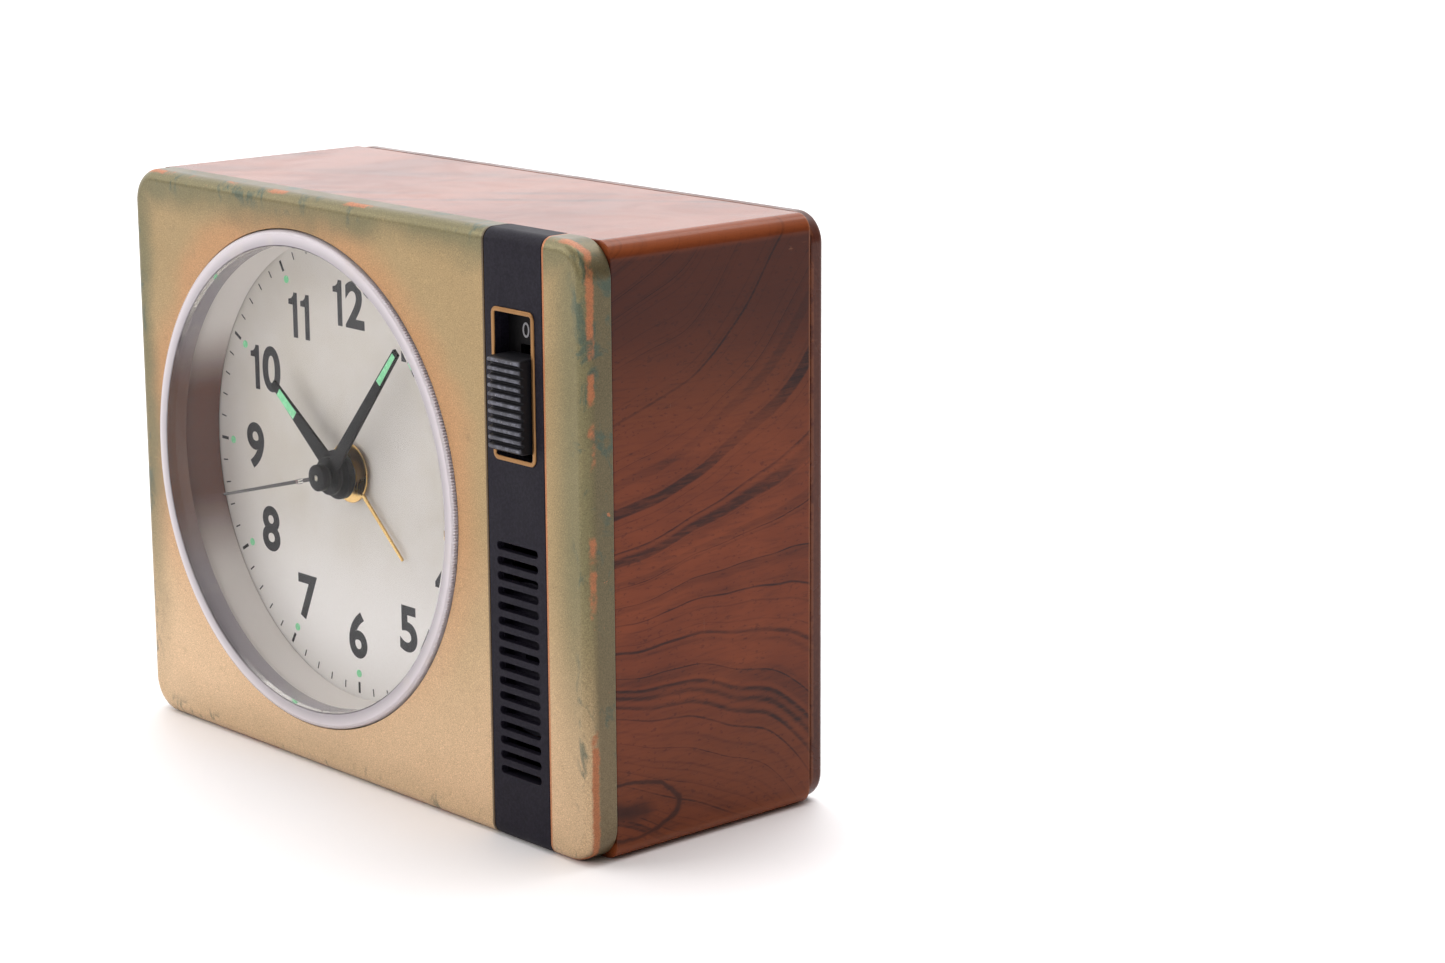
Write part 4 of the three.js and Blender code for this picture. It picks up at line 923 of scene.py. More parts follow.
# ------------------------------------------------------------------ case
def build_sleeve(wood):
    width = SLEEVE_HIGH.x - SLEEVE_LOW.x
    height = SLEEVE_HIGH.z - SLEEVE_LOW.z
    rings = []
    for inset, depth in quarter_rounds(SLEEVE_LOW.y, SLEEVE_HIGH.y, 0.2 * MM, 0.3 * MM, 3):
        outline = rounded_outline(width - 2 * inset, height - 2 * inset, SLEEVE_CORNER - inset, 12)
        rings.append(drawn_at(0, height / 2, depth, outline))
    inside = rounded_outline(width - 2 * SLEEVE_WALL, height - 2 * SLEEVE_WALL, 0.6 * MM, 12)
    for depth in (SLEEVE_HIGH.y, SLEEVE_LOW.y):
        rings.append(drawn_at(0, height / 2, depth, inside))
    sleeve = skin(rings, closed=True)
    return new_piece("wood_grain_sleeve", sleeve, wood, "case", ["case_sleeve"])


PIN_LENGTH = 1.4 * MM
DOOR_LAP = 0.8 * MM
DOOR_X, DOOR_Z = axis_of("battery_door")
DOOR_WIDTH = DOOR_HIGH.x - DOOR_LOW.x - 2 * PIN_LENGTH
DOOR_HEIGHT = DOOR_HIGH.z - DOOR_LOW.z
DOOR_THICKNESS = DOOR_HIGH.y - DOOR_LOW.y
DOOR_GAP = 0.25 * MM
COVER_START = SLEEVE_HIGH.y + SEAM
LIP_FRONT = COVER_START - 2 * MM


def build_cover(plastic):
    width = SLEEVE_HIGH.x - SLEEVE_LOW.x
    height = SLEEVE_HIGH.z - SLEEVE_LOW.z
    middle = height / 2
    pairs = quarter_rounds(COVER_START, BACK, 0.3 * MM, COVER_FILLET, 5)
    outer = slab(0, middle, width, height, COVER_CORNER, pairs, 12)
    pocket = plain_slab(
        0, middle, width - 2 * COVER_WALL, height - 2 * COVER_WALL, COVER_CORNER - COVER_WALL,
        COVER_START - MM, BACK - COVER_WALL,
    )
    cell_low = span("battery_cell")[0]
    bay_width = DOOR_WIDTH - 2 * DOOR_LAP
    bay_height = DOOR_HEIGHT - 2 * DOOR_LAP
    bay_front = cell_low.y - 0.6 * MM
    bay_wall = 1.6 * MM
    doorway = plain_slab(
        DOOR_X, DOOR_Z, DOOR_WIDTH + 2 * DOOR_GAP, DOOR_HEIGHT + 2 * DOOR_GAP, 0.5 * MM,
        DOOR_LOW.y - 0.1 * MM, BACK + MM,
    )
    bay_mouth = plain_slab(
        DOOR_X, DOOR_Z, bay_width, bay_height, 0.4 * MM, BACK - 2 * COVER_WALL, BACK + MM,
    )
    notch_profile = [(5 * MM, BACK - DOOR_THICKNESS / 2), (5.6 * MM, BACK + 0.3 * MM)]
    notch = turned(DOOR_X, DOOR_HIGH.z + DOOR_GAP, notch_profile, 48)
    holes = []
    for number in range(1, 5):
        x, z = axis_of(f"case_screw_{number}")
        recess = [(SCREW_RECESS_RADIUS, BACK - SCREW_RECESS_DEPTH), (SCREW_RECESS_RADIUS, BACK + MM)]
        holes.append(turned(x, z, recess, 32))
    dishes = []
    for node in ("time_set_knob", "alarm_set_knob"):
        low, high = span(node)
        x, z = axis_of(node)
        hole = [(SHAFT_HOLE_RADIUS, BACK - 3 * MM), (SHAFT_HOLE_RADIUS, BACK + MM)]
        holes.append(turned(x, z, hole, 32))
        dish = (high.x - low.x) / 2 + MM
        dishes.append(turned(x, z, [(dish, BACK - 0.4 * MM), (dish + 0.5 * MM, BACK + 0.1 * MM)], 64))
    panel = plain_slab(
        DIAL_X, HEIGHT - PANEL_DROP, PANEL_WIDTH, PANEL_HEIGHT, 2 * MM,
        BACK - PANEL_DEPTH, BACK + MM, 6,
    )
    shell = carve(outer, pocket, doorway, bay_mouth, notch, together(*holes), *dishes, panel)
    soften(shell, 0.15 * MM, angle=60, keep=lambda place: place.y > BACK - 0.05 * MM)
    pocket_wall = box_wall(DOOR_X, DOOR_Z, bay_width, bay_height, bay_wall, bay_front, BACK - COVER_WALL)
    inset = SLEEVE_WALL + 0.2 * MM
    lip_width, lip_height = width - 2 * inset, height - 2 * inset
    lip = ring_wall(0, middle, lip_width, lip_height, 1.2 * MM, LIP_FRONT, BACK - COVER_WALL)
    return new_piece(
        "rear_cover", together(shell, pocket_wall, lip), plastic, "case", ["back_cover"],
    )


def ring_wall(x, z, width, height, wall, front, back):
    """An upright wall running round a rounded rectangle."""
    rings = []
    for inset, depth in ((0, front), (0, back), (wall, back), (wall, front)):
        outline = rounded_outline(width - 2 * inset, height - 2 * inset, 1.9 * MM - inset / 2, 5)
        rings.append(drawn_at(x, z, depth, outline))
    return skin(rings, closed=True)


def box_wall(x, z, width, height, wall, front, back):
    """A tray open at the back: four walls and a floor in front."""
    rings = []
    for grow, depth in ((0, front), (0, back), (wall, back), (wall, front - wall)):
        outline = rounded_outline(width + 2 * grow, height + 2 * grow, 0.4 * MM + grow / 2, 4)
        rings.append(drawn_at(x, z, depth, outline))
    return skin(rings)


def build_cell(label):
    """The cell in its bay: a smooth can with a rolled rim, its nub to the right."""
    low, high = span("battery_cell")
    radius = (high.z - low.z) / 2
    nub = 1.2 * MM
    shoulder = high.x - nub
    profile = [
        (0.3 * MM, low.x), (radius - 1.2 * MM, low.x), (radius - 0.5 * MM, low.x + 0.15 * MM),
        (radius, low.x + 0.5 * MM), (radius, shoulder - 0.6 * MM),
        (radius - 0.4 * MM, shoulder - 0.15 * MM), (radius - 1.1 * MM, shoulder),
        (2.75 * MM, shoulder), (2.6 * MM, shoulder + 0.2 * MM),
        (2.6 * MM, high.x - 0.3 * MM), (2.3 * MM, high.x), (0.3 * MM, high.x),
    ]
    can = turned(0, 0, profile, 96)
    middle_y, middle_z = (low.y + high.y) / 2, (low.z + high.z) / 2
    place = Matrix.Translation((0, middle_y, middle_z)) @ Matrix.Rotation(-RIGHT_ANGLE, 4, "Z")
    bmesh.ops.transform(can, matrix=place, verts=can.verts)
    return new_piece("battery_can", can, label, "case", ["battery_cell"], crease=40)


def build_door(plastic):
    half = DOOR_THICKNESS / 2
    hinge_y, hinge_z = DOOR_LOW.y + half, DOOR_LOW.z + half
    outline = [Vector((DOOR_HIGH.y, hinge_z)), Vector((DOOR_HIGH.y, DOOR_HIGH.z - 0.25 * MM))]
    outline += [Vector((DOOR_HIGH.y - 0.25 * MM, DOOR_HIGH.z)), Vector((DOOR_LOW.y, DOOR_HIGH.z))]
    outline.append(Vector((DOOR_LOW.y, hinge_z)))
    for step in range(1, 12):
        angle = math.pi * step / 12
        outline.append(Vector((hinge_y - half * math.cos(angle), hinge_z - half * math.sin(angle))))
    body = across(outline, DOOR_X, DOOR_WIDTH, 0.2 * MM)
    grooves = []
    for i in range(6):
        z = DOOR_HIGH.z - (2.2 + 0.95 * i) * MM
        grooves.append(plain_slab(
            DOOR_X, z, 17 * MM, 0.5 * MM, 0.24 * MM, DOOR_HIGH.y - 0.3 * MM, DOOR_HIGH.y + MM, 4,
        ))
    body = soften(carve(body, together(*grooves)), 0.07 * MM, angle=60)
    pin_outline = []
    for step in range(16):
        angle = 2 * math.pi * step / 16
        pin_outline.append(Vector((
            hinge_y + 0.4 * MM * math.cos(angle),
            hinge_z + 0.4 * MM * math.sin(angle),
        )))
    pin = across(pin_outline, DOOR_X, DOOR_WIDTH + 2 * PIN_LENGTH, 0.1 * MM)
    door = together(body, pin)
    return new_piece(
        "battery_hatch_door", door, plastic, "battery_hatch", ["battery_door"],
    )


def fluted(x, z, profile, flutes, depth_of_flute, steps_per_flute=8):
    """A turned solid whose side is cut into rounded flutes where the profile says so."""
    count = flutes * steps_per_flute
    dips = []
    for step in range(count):
        angle = 2 * math.pi * step / count
        dips.append(depth_of_flute * (1 - abs(math.sin(flutes * angle / 2)) ** 0.7))
    rings = []
    for radius, depth, share in profile:
        rings.append(circle_at(x, z, depth, [radius - share * dip for dip in dips]))
    return skin(rings)


def build_knob(node, name, material, body, ink):
    low, high = span(node)
    x, z = axis_of(node)
    radius = (high.x - low.x) / 2
    front, back = low.y, high.y
    profile = [
        (radius - 1.6 * MM, front, 0), (radius - 0.2 * MM, front, 0.2), (radius, front + 0.2 * MM, 0.6),
        (radius, front + 0.8 * MM, 1), (radius, back - 0.7 * MM, 1),
        (radius - 0.15 * MM, back - 0.3 * MM, 0.7), (radius - 0.6 * MM, back, 0),
        (radius - 1.3 * MM, back, 0), (radius - 1.45 * MM, back - 0.25 * MM, 0),
        (radius - 1.6 * MM, back - 0.35 * MM, 0), (0.3 * MM, back - 0.35 * MM, 0),
    ]
    knob = new_piece(name, fluted(x, z, profile, 20, 0.45 * MM), material, body, [node])
    mark = knob_arrow(x, z, radius, back - 0.35 * MM)
    new_piece(f"{name}_arrow", mark, ink, body)
    return knob


def knob_arrow(x, z, radius, face):
    """A curved arrow printed on a knob's face, showing which way it is turned."""
    inner, outer = radius - 3.1 * MM, radius - 2.6 * MM
    raised = face + 0.03 * MM
    sweep = math.radians(200)
    mesh = bmesh.new()
    steps = 36
    rows = []
    for step in range(steps + 1):
        angle = math.radians(-10) + sweep * step / steps
        share = step / steps
        half = (outer - inner) / 2
        if share > 0.82:
            half = 1.9 * half * (1 - share) / 0.18 + 0.01 * MM
        middle = (inner + outer) / 2
        row = []
        near, far = middle - half, middle + half
        for reach, depth in ((near, face), (far, face), (far, raised), (near, raised)):
            row.append(mesh.verts.new((x + reach * math.cos(angle), depth, z + reach * math.sin(angle))))
        rows.append(row)
    for near, far in zip(rows, rows[1:]):
        for i in range(4):
            j = (i + 1) % 4
            mesh.faces.new((near[i], near[j], far[j], far[i]))
    mesh.faces.new(rows[0])
    mesh.faces.new(rows[-1])
    bmesh.ops.recalc_face_normals(mesh, faces=mesh.faces)
    return mesh


def build_case_screw(number, steel):
    node = f"case_screw_{number}"
    low, high = span(node)
    x, z = axis_of(node)
    head = (high.x - low.x) / 2
    seat = high.y - 1.2 * MM
    profile = [(0.2 * MM, low.y), (1.2 * MM, low.y + 1.2 * MM)]
    thread = low.y + 1.5 * MM
    while thread < seat - 0.8 * MM:
        profile += [(0.95 * MM, thread), (1.2 * MM, thread + 0.3 * MM)]
        thread += 0.6 * MM
    profile += [
        (1.2 * MM, seat), (head, seat), (head, high.y - 0.45 * MM),
        (head - 0.25 * MM, high.y - 0.12 * MM),
        (head - 0.7 * MM, high.y), (0.2 * MM, high.y),
    ]
    body = turned(x, z, profile, 32)
    arms = []
    for width, height in ((2.4 * MM, 0.5 * MM), (0.5 * MM, 2.4 * MM)):
        arms.append(plain_slab(x, z, width, height, 0.05 * MM, high.y - 0.8 * MM, high.y + MM, 2))
    return new_piece(
        f"case_screw_head_{number}", carve(body, *arms), steel, "case", [node],
    )


# ------------------------------------------------------------------ finishes
def gold_paint():
    material, wires, shader, place = new_finish("worn_gold_paint")
    edge = wires.effect(EDGE_PLACE, {"Place": place})
    speckle = speckled(wires, place, 5200.0)
    handling = handled(wires, place)
    drift = wires.minus(wires.noise(place, 16 * MM, 3.0, 0.55), 0.5)
    colour = aged_gold(wires, place, edge, drift)
    near_rim = wires.fade(edge["Edge"], 4.2 * MM, 1.2 * MM)
    teal_noise = wires.noise(wires.stretched(place, (1.4, 1.0, 0.7)), 5 * MM, 4.0, 0.65, 0.6)
    teal = wires.times(wires.fade(teal_noise, 0.54, 0.66, 0.0, 0.75), near_rim)
    colour = wires.blend(teal, colour, tint(62, 84, 74))
    grime = wires.fade(wires.noise(place, 2.2 * MM, 5.0, 0.7), 0.55, 0.8, 0.0, 0.3)
    colour = wires.blend(grime, colour, tint(98, 84, 56))
    worn = worn_rim(wires, place, edge)
    colour = wires.blend(worn, colour, tint(174, 108, 66))
    colour = channel_lines(wires, place, colour)
    light = wires.plus(0.3, speckle["Grain"], 1.25)
    light = wires.plus(light, speckle["Sparkle"], 0.15)
    wires.feed(shader["Base Color"], wires.blend(1.0, colour, light, "MULTIPLY"))
    rough = wires.plus(0.38, handling["Smudge"], 0.08)
    rough = wires.plus(rough, worn, 0.14)
    wires.feed(shader["Roughness"], rough)
    wires.feed(shader["Metallic"], wires.minus(0.5, worn, 0.4))
    shader["Coat Weight"].default_value = 0.12
    shader["Coat Roughness"].default_value = 0.25
    relief = wires.minus(wires.times(speckle["Grain"], 0.6), worn, 0.9)
    wires.feed(shader["Normal"], wires.bump(relief, 0.6, 0.02 * MM))
    return material


def aged_gold(wires, place, edge, drift):
    """Gold that turns orange around the lens, olive towards the rim and brown on the bands, with a painted
    reflection of the floor that pales it towards the bottom.
    """
    from_lens = wires.vector("SUBTRACT", place, (DIAL_X, FRONT, DIAL_Z))
    reach = wires.length(from_lens)
    reach = wires.plus(reach, drift, 9 * MM)
    halo = wires.fade(reach, LENS_RADIUS + 8 * MM, LENS_RADIUS + 0.5 * MM)
    rim_reach = wires.plus(edge["Edge"], drift, 10 * MM)
    green = wires.fade(rim_reach, 8.5 * MM, 1.5 * MM, 0.0, 0.85)
    z = wires.parts(place)["Z"]
    green = wires.larger(green, wires.fade(edge["Right"], 9.5 * MM, 3 * MM, 0.1, 0.8))
    green = wires.times(green, wires.fade(z, 0.05 * HEIGHT, 0.5 * HEIGHT, 0.2, 1.0))
    gold = wires.blend(halo, tint(168, 142, 98), tint(186, 140, 94))
    # Painted reflection of the floor: the gold pales towards the bottom.
    painted_floor_reflection = wires.fade(wires.plus(z, drift, 14 * MM), 0.55 * HEIGHT, 0.05 * HEIGHT)
    gold = wires.blend(painted_floor_reflection, gold, tint(212, 180, 142))
    colour = wires.blend(green, gold, tint(106, 104, 72))
    side = wires.fade(edge["Depth"], 0.6 * MM, 2 * MM, 0.0, 0.85)
    return wires.blend(side, colour, tint(98, 88, 62))


def worn_rim(wires, place, edge):
    """Where the paint has rubbed through to copper: along the rounded rim, and in small chips."""
    rim_line = wires.minus(wires.times(edge["Edge"], 0.6), edge["Depth"])
    off_line = wires.math("ABSOLUTE", wires.plus(rim_line, 1.05 * MM))
    fuzz = wires.noise(place, 1.2 * MM, 4.0, 0.7)
    off_line = wires.plus(off_line, wires.minus(fuzz, 0.5), 1.2 * MM)
    on_rim = wires.fade(off_line, 0.85 * MM, 0.3 * MM)
    z = wires.parts(place)["Z"]
    to_corner = wires.plus(edge["Right"], z)
    corner = wires.fade(to_corner, 24 * MM, 3 * MM, 0.0, 0.26)
    to_top = wires.plus(wires.minus(HEIGHT, z), edge["Right"], 0.2)
    top = wires.fade(to_top, 16 * MM, 4 * MM, 0.0, 0.07)
    stretches = wires.noise(place, 9 * MM, 5.0, 0.6, 0.3)
    stretches = wires.plus(stretches, wires.plus(corner, top))
    rubbed = wires.times(on_rim, wires.fade(stretches, 0.53, 0.62))
    near_rim = wires.fade(edge["Edge"], 3 * MM, 1 * MM)
    chips = wires.fade(wires.noise(place, 1.7 * MM, 5.0, 0.7, 0.5), 0.69, 0.72)
    return wires.larger(rubbed, wires.times(chips, near_rim))


def channel_lines(wires, place, colour):
    """A copper line where the paint ends on the right of the strip, and a dark one on its left."""
    x = wires.parts(place)["X"]
    right_line = wires.apart(x, STRIP_HIGH.x + 0.3 * MM)
    copper = wires.fade(right_line, 0.3 * MM, 0.12 * MM, 0.0, 0.85)
    colour = wires.blend(copper, colour, tint(176, 104, 58))
    left_line = wires.apart(x, STRIP_LOW.x - 0.25 * MM)
    return wires.blend(wires.fade(left_line, 0.3 * MM, 0.1 * MM, 0.0, 0.8), colour, tint(70, 52, 34))


def moulded_plastic(name, colour, dusty, density, rough, sheen=0.5):
    """Moulded plastic with a fine grain, dust in it, and faint handling marks."""
    material, wires, shader, place = new_finish(name)
    shader["Specular IOR Level"].default_value = sheen
    speckle = speckled(wires, place, density)
    handling = handled(wires, place)
    scratches = scratched(wires, place, 0.55)
    grain = wires.fade(speckle["Grain"], 0.35, 0.7, 0.0, 0.3)
    shade = wires.blend(grain, colour, dusty)
    dust = wires.times(handling["Dust"], 0.35)
    marks = wires.larger(dust, wires.times(scratches, 0.25))
    wires.feed(shader["Base Color"], wires.blend(marks, shade, dusty))
    wires.feed(shader["Roughness"], wires.plus(rough, handling["Smudge"], 0.12))
    wires.feed(shader["Normal"], wires.bump(speckle["Grain"], 0.35, 0.012 * MM))
    return material


def ribbed_slate():
    material, wires, shader, place = new_finish("ribbed_slate_plastic")
    speckle = speckled(wires, place, 2600.0)
    y = wires.parts(place)["Y"]
    # The crests are paler: partly rubbed wear, partly a painted highlight.
    crest = wires.fade(y, SWITCH_LOW.y + 0.5 * MM, SWITCH_LOW.y + 0.02 * MM)
    patchy = wires.fade(wires.noise(place, 1.1 * MM, 4.0, 0.7), 0.42, 0.66)
    rubbed = wires.times(crest, wires.plus(0.35, patchy, 0.65))
    nicks = wires.fade(wires.noise(place, 0.45 * MM, 2.0, 0.6), 0.68, 0.74)
    colour = wires.blend(rubbed, tint(24, 24, 29), tint(104, 106, 118))
    colour = wires.blend(wires.times(nicks, crest), colour, tint(168, 168, 172))
    wires.feed(shader["Base Color"], colour)
    shader["Specular IOR Level"].default_value = 0.3
    wires.feed(shader["Roughness"], wires.minus(0.5, rubbed, 0.15))
    wires.feed(shader["Normal"], wires.bump(speckle["Grain"], 0.3, 0.012 * MM))
    return material


def bright_metal(name, colour, tarnish, rough, density=900.0, tarnish_share=0.35):
    """Bright metal with fine brushing and patches of tarnish."""
    material, wires, shader, place = new_finish(name)
    handling = handled(wires, place)
    scratches = scratched(wires, place, 0.9)
    brushing = wires.noise(wires.stretched(place, (density, density * 9, density)), 1.0, 2.0)
    share = wires.times(handling["Smudge"], tarnish_share)
    share = wires.plus(share, brushing, 0.12)
    wires.feed(shader["Base Color"], wires.blend(share, colour, tarnish))
    shader["Metallic"].default_value = 1.0
    rough_here = wires.plus(rough, handling["Smudge"], 0.16)
    wires.feed(shader["Roughness"], wires.plus(rough_here, scratches, 0.1))
    wires.feed(shader["Normal"], wires.bump(brushing, 0.12, 0.01 * MM))
    return material


def clear_acrylic():
    material, wires, shader, place = new_finish("clear_acrylic")
    handling = handled(wires, place)
    scratches = scratched(wires, place, 0.4)
    shader["Base Color"].default_value = (0.97, 0.975, 0.98, 1)
    shader["Transmission Weight"].default_value = 1.0
    shader["IOR"].default_value = 1.12
    marks = wires.times(scratches, 0.12)
    haze = wires.plus(0.012, handling["Smudge"], 0.02)
    wires.feed(shader["Roughness"], wires.plus(haze, marks))
    return material


def frosted_edge():
    """The thick edge of the lens: clear plastic that looks milky where it stands on white."""
    material, wires, shader, place = new_finish("frosted_lens_edge")
    speckle = speckled(wires, place, 2200.0)
    from_axis = wires.vector("SUBTRACT", place, (DIAL_X, 0, DIAL_Z))
    flat = wires.vector("MULTIPLY", from_axis, (1, 0, 1))
    radius = wires.length(flat)
    inner = LENS_RADIUS - LENS_RING
    # Painted shade: a dark line along the inner edge of the ring, which is also greyer towards that edge.
    inner_line = wires.fade(radius, inner + 0.3 * MM, inner + 0.08 * MM)
    y = wires.parts(place)["Y"]
    inner_line = wires.times(inner_line, wires.fade(y, LENS_FRONT + 0.5 * MM, LENS_FRONT + 0.2 * MM))
    shade = wires.fade(radius, inner, LENS_RADIUS - 0.3 * MM)
    colour = wires.blend(shade, tint(160, 154, 160), tint(206, 200, 206))
    colour = wires.blend(wires.times(inner_line, 0.75), colour, tint(96, 90, 96))
    grime = wires.fade(wires.noise(place, 6 * MM, 4.0, 0.6), 0.5, 0.75, 0.0, 0.25)
    colour = wires.blend(grime, colour, tint(200, 190, 178))
    inside = wires.fade(radius, inner + 0.12 * MM, inner + 0.06 * MM)
    # Painted shade: brown on the left of the lens edge's inner wall.
    colour = wires.blend(wires.times(inside, smoky_left(wires, place)), colour, tint(120, 78, 60))
    wires.feed(shader["Base Color"], colour)
    wires.feed(shader["Roughness"], wires.plus(0.16, speckle["Grain"], 0.12))
    shader["Subsurface Weight"].default_value = 0.3
    shader["Subsurface Radius"].default_value = (1, 1, 1)
    shader["Subsurface Scale"].default_value = 1.5 * MM
    shader["Coat Weight"].default_value = 0.5
    wires.feed(shader["Normal"], wires.bump(speckle["Grain"], 0.1, 0.01 * MM))
    return material


def white_plastic():
    material, wires, shader, place = new_finish("glossy_white_plastic")
    speckle = speckled(wires, place, 1500.0)
    handling = handled(wires, place)
    yellowed = wires.noise(place, 20 * MM, 3.0)
    colour = wires.blend(yellowed, tint(246, 242, 240), tint(236, 230, 222))
    # Painted shade: brown on the left of the surround.
    colour = wires.blend(smoky_left(wires, place), colour, tint(98, 46, 24))
    colour = wires.blend(wires.times(handling["Dust"], 0.4), colour, tint(150, 140, 130))
    shader["Specular IOR Level"].default_value = 0.2
    wires.feed(shader["Base Color"], colour)
    wires.feed(shader["Roughness"], wires.plus(0.12, handling["Smudge"], 0.1))
    wires.feed(shader["Normal"], wires.bump(speckle["Grain"], 0.08, 0.01 * MM))
    return material


def smoky_left(wires, place):
    """Painted brown shade on the left of the surround and the lens edge, deepest near the middle."""
    x, _, z = wires.parts(place)
    left = wires.fade(x, DIAL_X - 0.6 * LENS_RADIUS, DIAL_X - 0.86 * LENS_RADIUS)
    low = wires.fade(z, DIAL_Z - 0.6 * LENS_RADIUS, DIAL_Z - 0.2 * LENS_RADIUS)
    high = wires.fade(z, DIAL_Z + 0.55 * LENS_RADIUS, DIAL_Z + 0.2 * LENS_RADIUS)
    return wires.times(wires.times(left, 0.95), wires.times(low, high))


def cream_paint():
    material, wires, shader, place = new_finish("cream_dial_paint")
    speckle = speckled(wires, place, 2400.0)
    handling = handled(wires, place)
    aged = wires.fade(wires.noise(place, 18 * MM, 4.0, 0.6), 0.35, 0.75)
    z = wires.parts(place)["Z"]
    colour = wires.blend(aged, tint(222, 218, 212), tint(212, 206, 195))
    # Painted light: the dial is lightened towards the bottom.
    low = wires.fade(z, DIAL_Z - 0.1 * LENS_RADIUS, DIAL_Z - 0.75 * LENS_RADIUS, 0.0, 0.9)
    colour = wires.blend(low, colour, tint(255, 253, 250))
    colour = wires.blend(wires.times(handling["Dust"], 0.3), colour, tint(150, 140, 120))
    colour = wires.blend(wires.fade(speckle["Grain"], 0.4, 0.75, 0.0, 0.12), colour, tint(200, 194, 180))
    wires.feed(shader["Base Color"], colour)
    wires.feed(shader["Roughness"], wires.plus(0.5, speckle["Grain"], 0.2))
    wires.feed(shader["Normal"], wires.bump(speckle["Grain"], 0.15, 0.01 * MM))
    return material


def printed(name, colour, faded):
    """Screen-printed ink: slightly uneven cover with tiny gaps."""
    material, wires, shader, place = new_finish(name)
    speckle = speckled(wires, place, 5200.0)
    cover = wires.fade(speckle["Grain"], 0.5, 0.8, 0.0, 0.4)
    drift = wires.fade(wires.noise(place, 5 * MM, 3.0), 0.4, 0.8, 0.0, 0.2)
    wires.feed(shader["Base Color"], wires.blend(wires.larger(cover, drift), colour, faded))
    wires.feed(shader["Roughness"], wires.plus(0.4, speckle["Grain"], 0.2))
    wires.feed(shader["Normal"], wires.bump(speckle["Grain"], 0.15, 0.006 * MM))
    return material


def luminous_fill():
    material, wires, shader, place = new_finish("luminous_green_fill")
    speckle = speckled(wires, place, 3800.0)
    clotted = wires.fade(wires.noise(place, 0.9 * MM, 4.0, 0.65), 0.35, 0.7)
    colour = wires.blend(clotted, tint(122, 208, 152), tint(150, 226, 176))
    colour = wires.blend(wires.times(speckle["Sparkle"], 0.35), colour, tint(206, 240, 214))
    wires.feed(shader["Base Color"], colour)
    wires.feed(shader["Emission Color"], colour)
    shader["Emission Strength"].default_value = 0.12
    wires.feed(shader["Roughness"], wires.plus(0.55, clotted, 0.2))
    wires.feed(shader["Normal"], wires.bump(speckle["Grain"], 0.4, 0.02 * MM))
    return material


def wood_grain():
    material, wires, shader, place = new_finish("lacquered_wood_grain")
    x, y, z = wires.parts(place)
    handling = handled(wires, place)
    scratches = scratched(wires, place, 0.3)
    speckle = speckled(wires, place, 1700.0)
    level = grain_level(wires, place)
    bold = grain_lines(wires, level, 8.5 * MM, 0.013)
    faint = grain_lines(wires, wires.plus(level, 31 * MM), 4.6 * MM, 0.03)
    shadow = grain_shadow(wires, level, 8.5 * MM)
    fibre = wires.noise(wires.stretched(place, (1.0, 0.1, 1.0)), 0.5 * MM, 3.0, 0.7)
    along = wires.noise(wires.stretched(place, (1.0, 0.35, 1.0)), 14 * MM, 3.0, 0.6)
    presence = wires.fade(along, 0.34, 0.62, 0.35, 1.0)
    base = wires.blend(wires.fade(along, 0.3, 0.7), tint(136, 66, 36), tint(110, 50, 28))
    broad = wires.noise(wires.stretched(place, (0.7, 0.5, 1.0)), 26 * MM, 2.0)
    base = wires.blend(wires.fade(broad, 0.4, 0.7, 0.0, 0.6), base, tint(144, 74, 38))
    # Painted shade: the sides darken near the top and a little low down.
    base = wires.blend(shaded_side(wires, z), base, tint(60, 26, 18))
    base = wires.blend(wires.fade(fibre, 0.45, 0.8, 0.0, 0.4), base, tint(62, 31, 25))
    dark = wires.larger(bold, wires.times(faint, 0.4))
    dark = wires.larger(dark, shadow)
    dark = wires.times(dark, presence)
    dark = wires.times(dark, wires.fade(fibre, 0.3, 0.6, 0.6, 1.0))
    dark = wires.larger(dark, grain_knot(wires, place))
    colour = wires.blend(wires.times(dark, 0.85), base, tint(28, 14, 17))
    pores = wires.fade(wires.noise(wires.stretched(place, (1.0, 0.45, 1.0)), 0.45 * MM, 1.0), 0.64, 0.72)
    colour = wires.blend(wires.times(pores, 0.35), colour, tint(44, 22, 22))
    # Painted highlight: the rounded corners running front to back are lightened.
    rim = corner_mask(wires, x, z)
    colour = wires.blend(wires.times(rim, 0.6), colour, tint(142, 74, 38))
    end_gap = wires.minus(SLEEVE_HIGH.y, y)
    rubbed = wires.times(wires.fade(end_gap, 0.6 * MM, 0.1 * MM), wires.fade(along, 0.35, 0.6, 0.15, 0.6))
    colour = wires.blend(rubbed, colour, tint(164, 104, 70))
    colour = wires.blend(wires.times(scratches, 0.45), colour, tint(176, 120, 88))
    wires.feed(shader["Base Color"], colour)
    rough = wires.plus(0.22, handling["Smudge"], 0.04)
    wires.feed(shader["Roughness"], wires.plus(rough, scratches, 0.2))
    shader["Specular IOR Level"].default_value = 0.1
    shader["Coat Weight"].default_value = 0.15
    shader["Coat Roughness"].default_value = 0.1
    relief = wires.minus(wires.times(speckle["Grain"], 0.3), dark, 0.5)
    wires.feed(shader["Normal"], wires.bump(relief, 0.25, 0.015 * MM))
    return material


def shaded_side(wires, z):
    """Painted shade on the sides: darkest near the top of the sides, a little low down."""
    high = wires.fade(z, 0.5 * HEIGHT, 0.9 * HEIGHT, 0.0, 0.85)
    high = wires.times(high, wires.fade(z, 0.99 * HEIGHT, 0.96 * HEIGHT))
    return wires.larger(high, wires.fade(z, 0.4 * HEIGHT, 0.08 * HEIGHT, 0.0, 0.4))


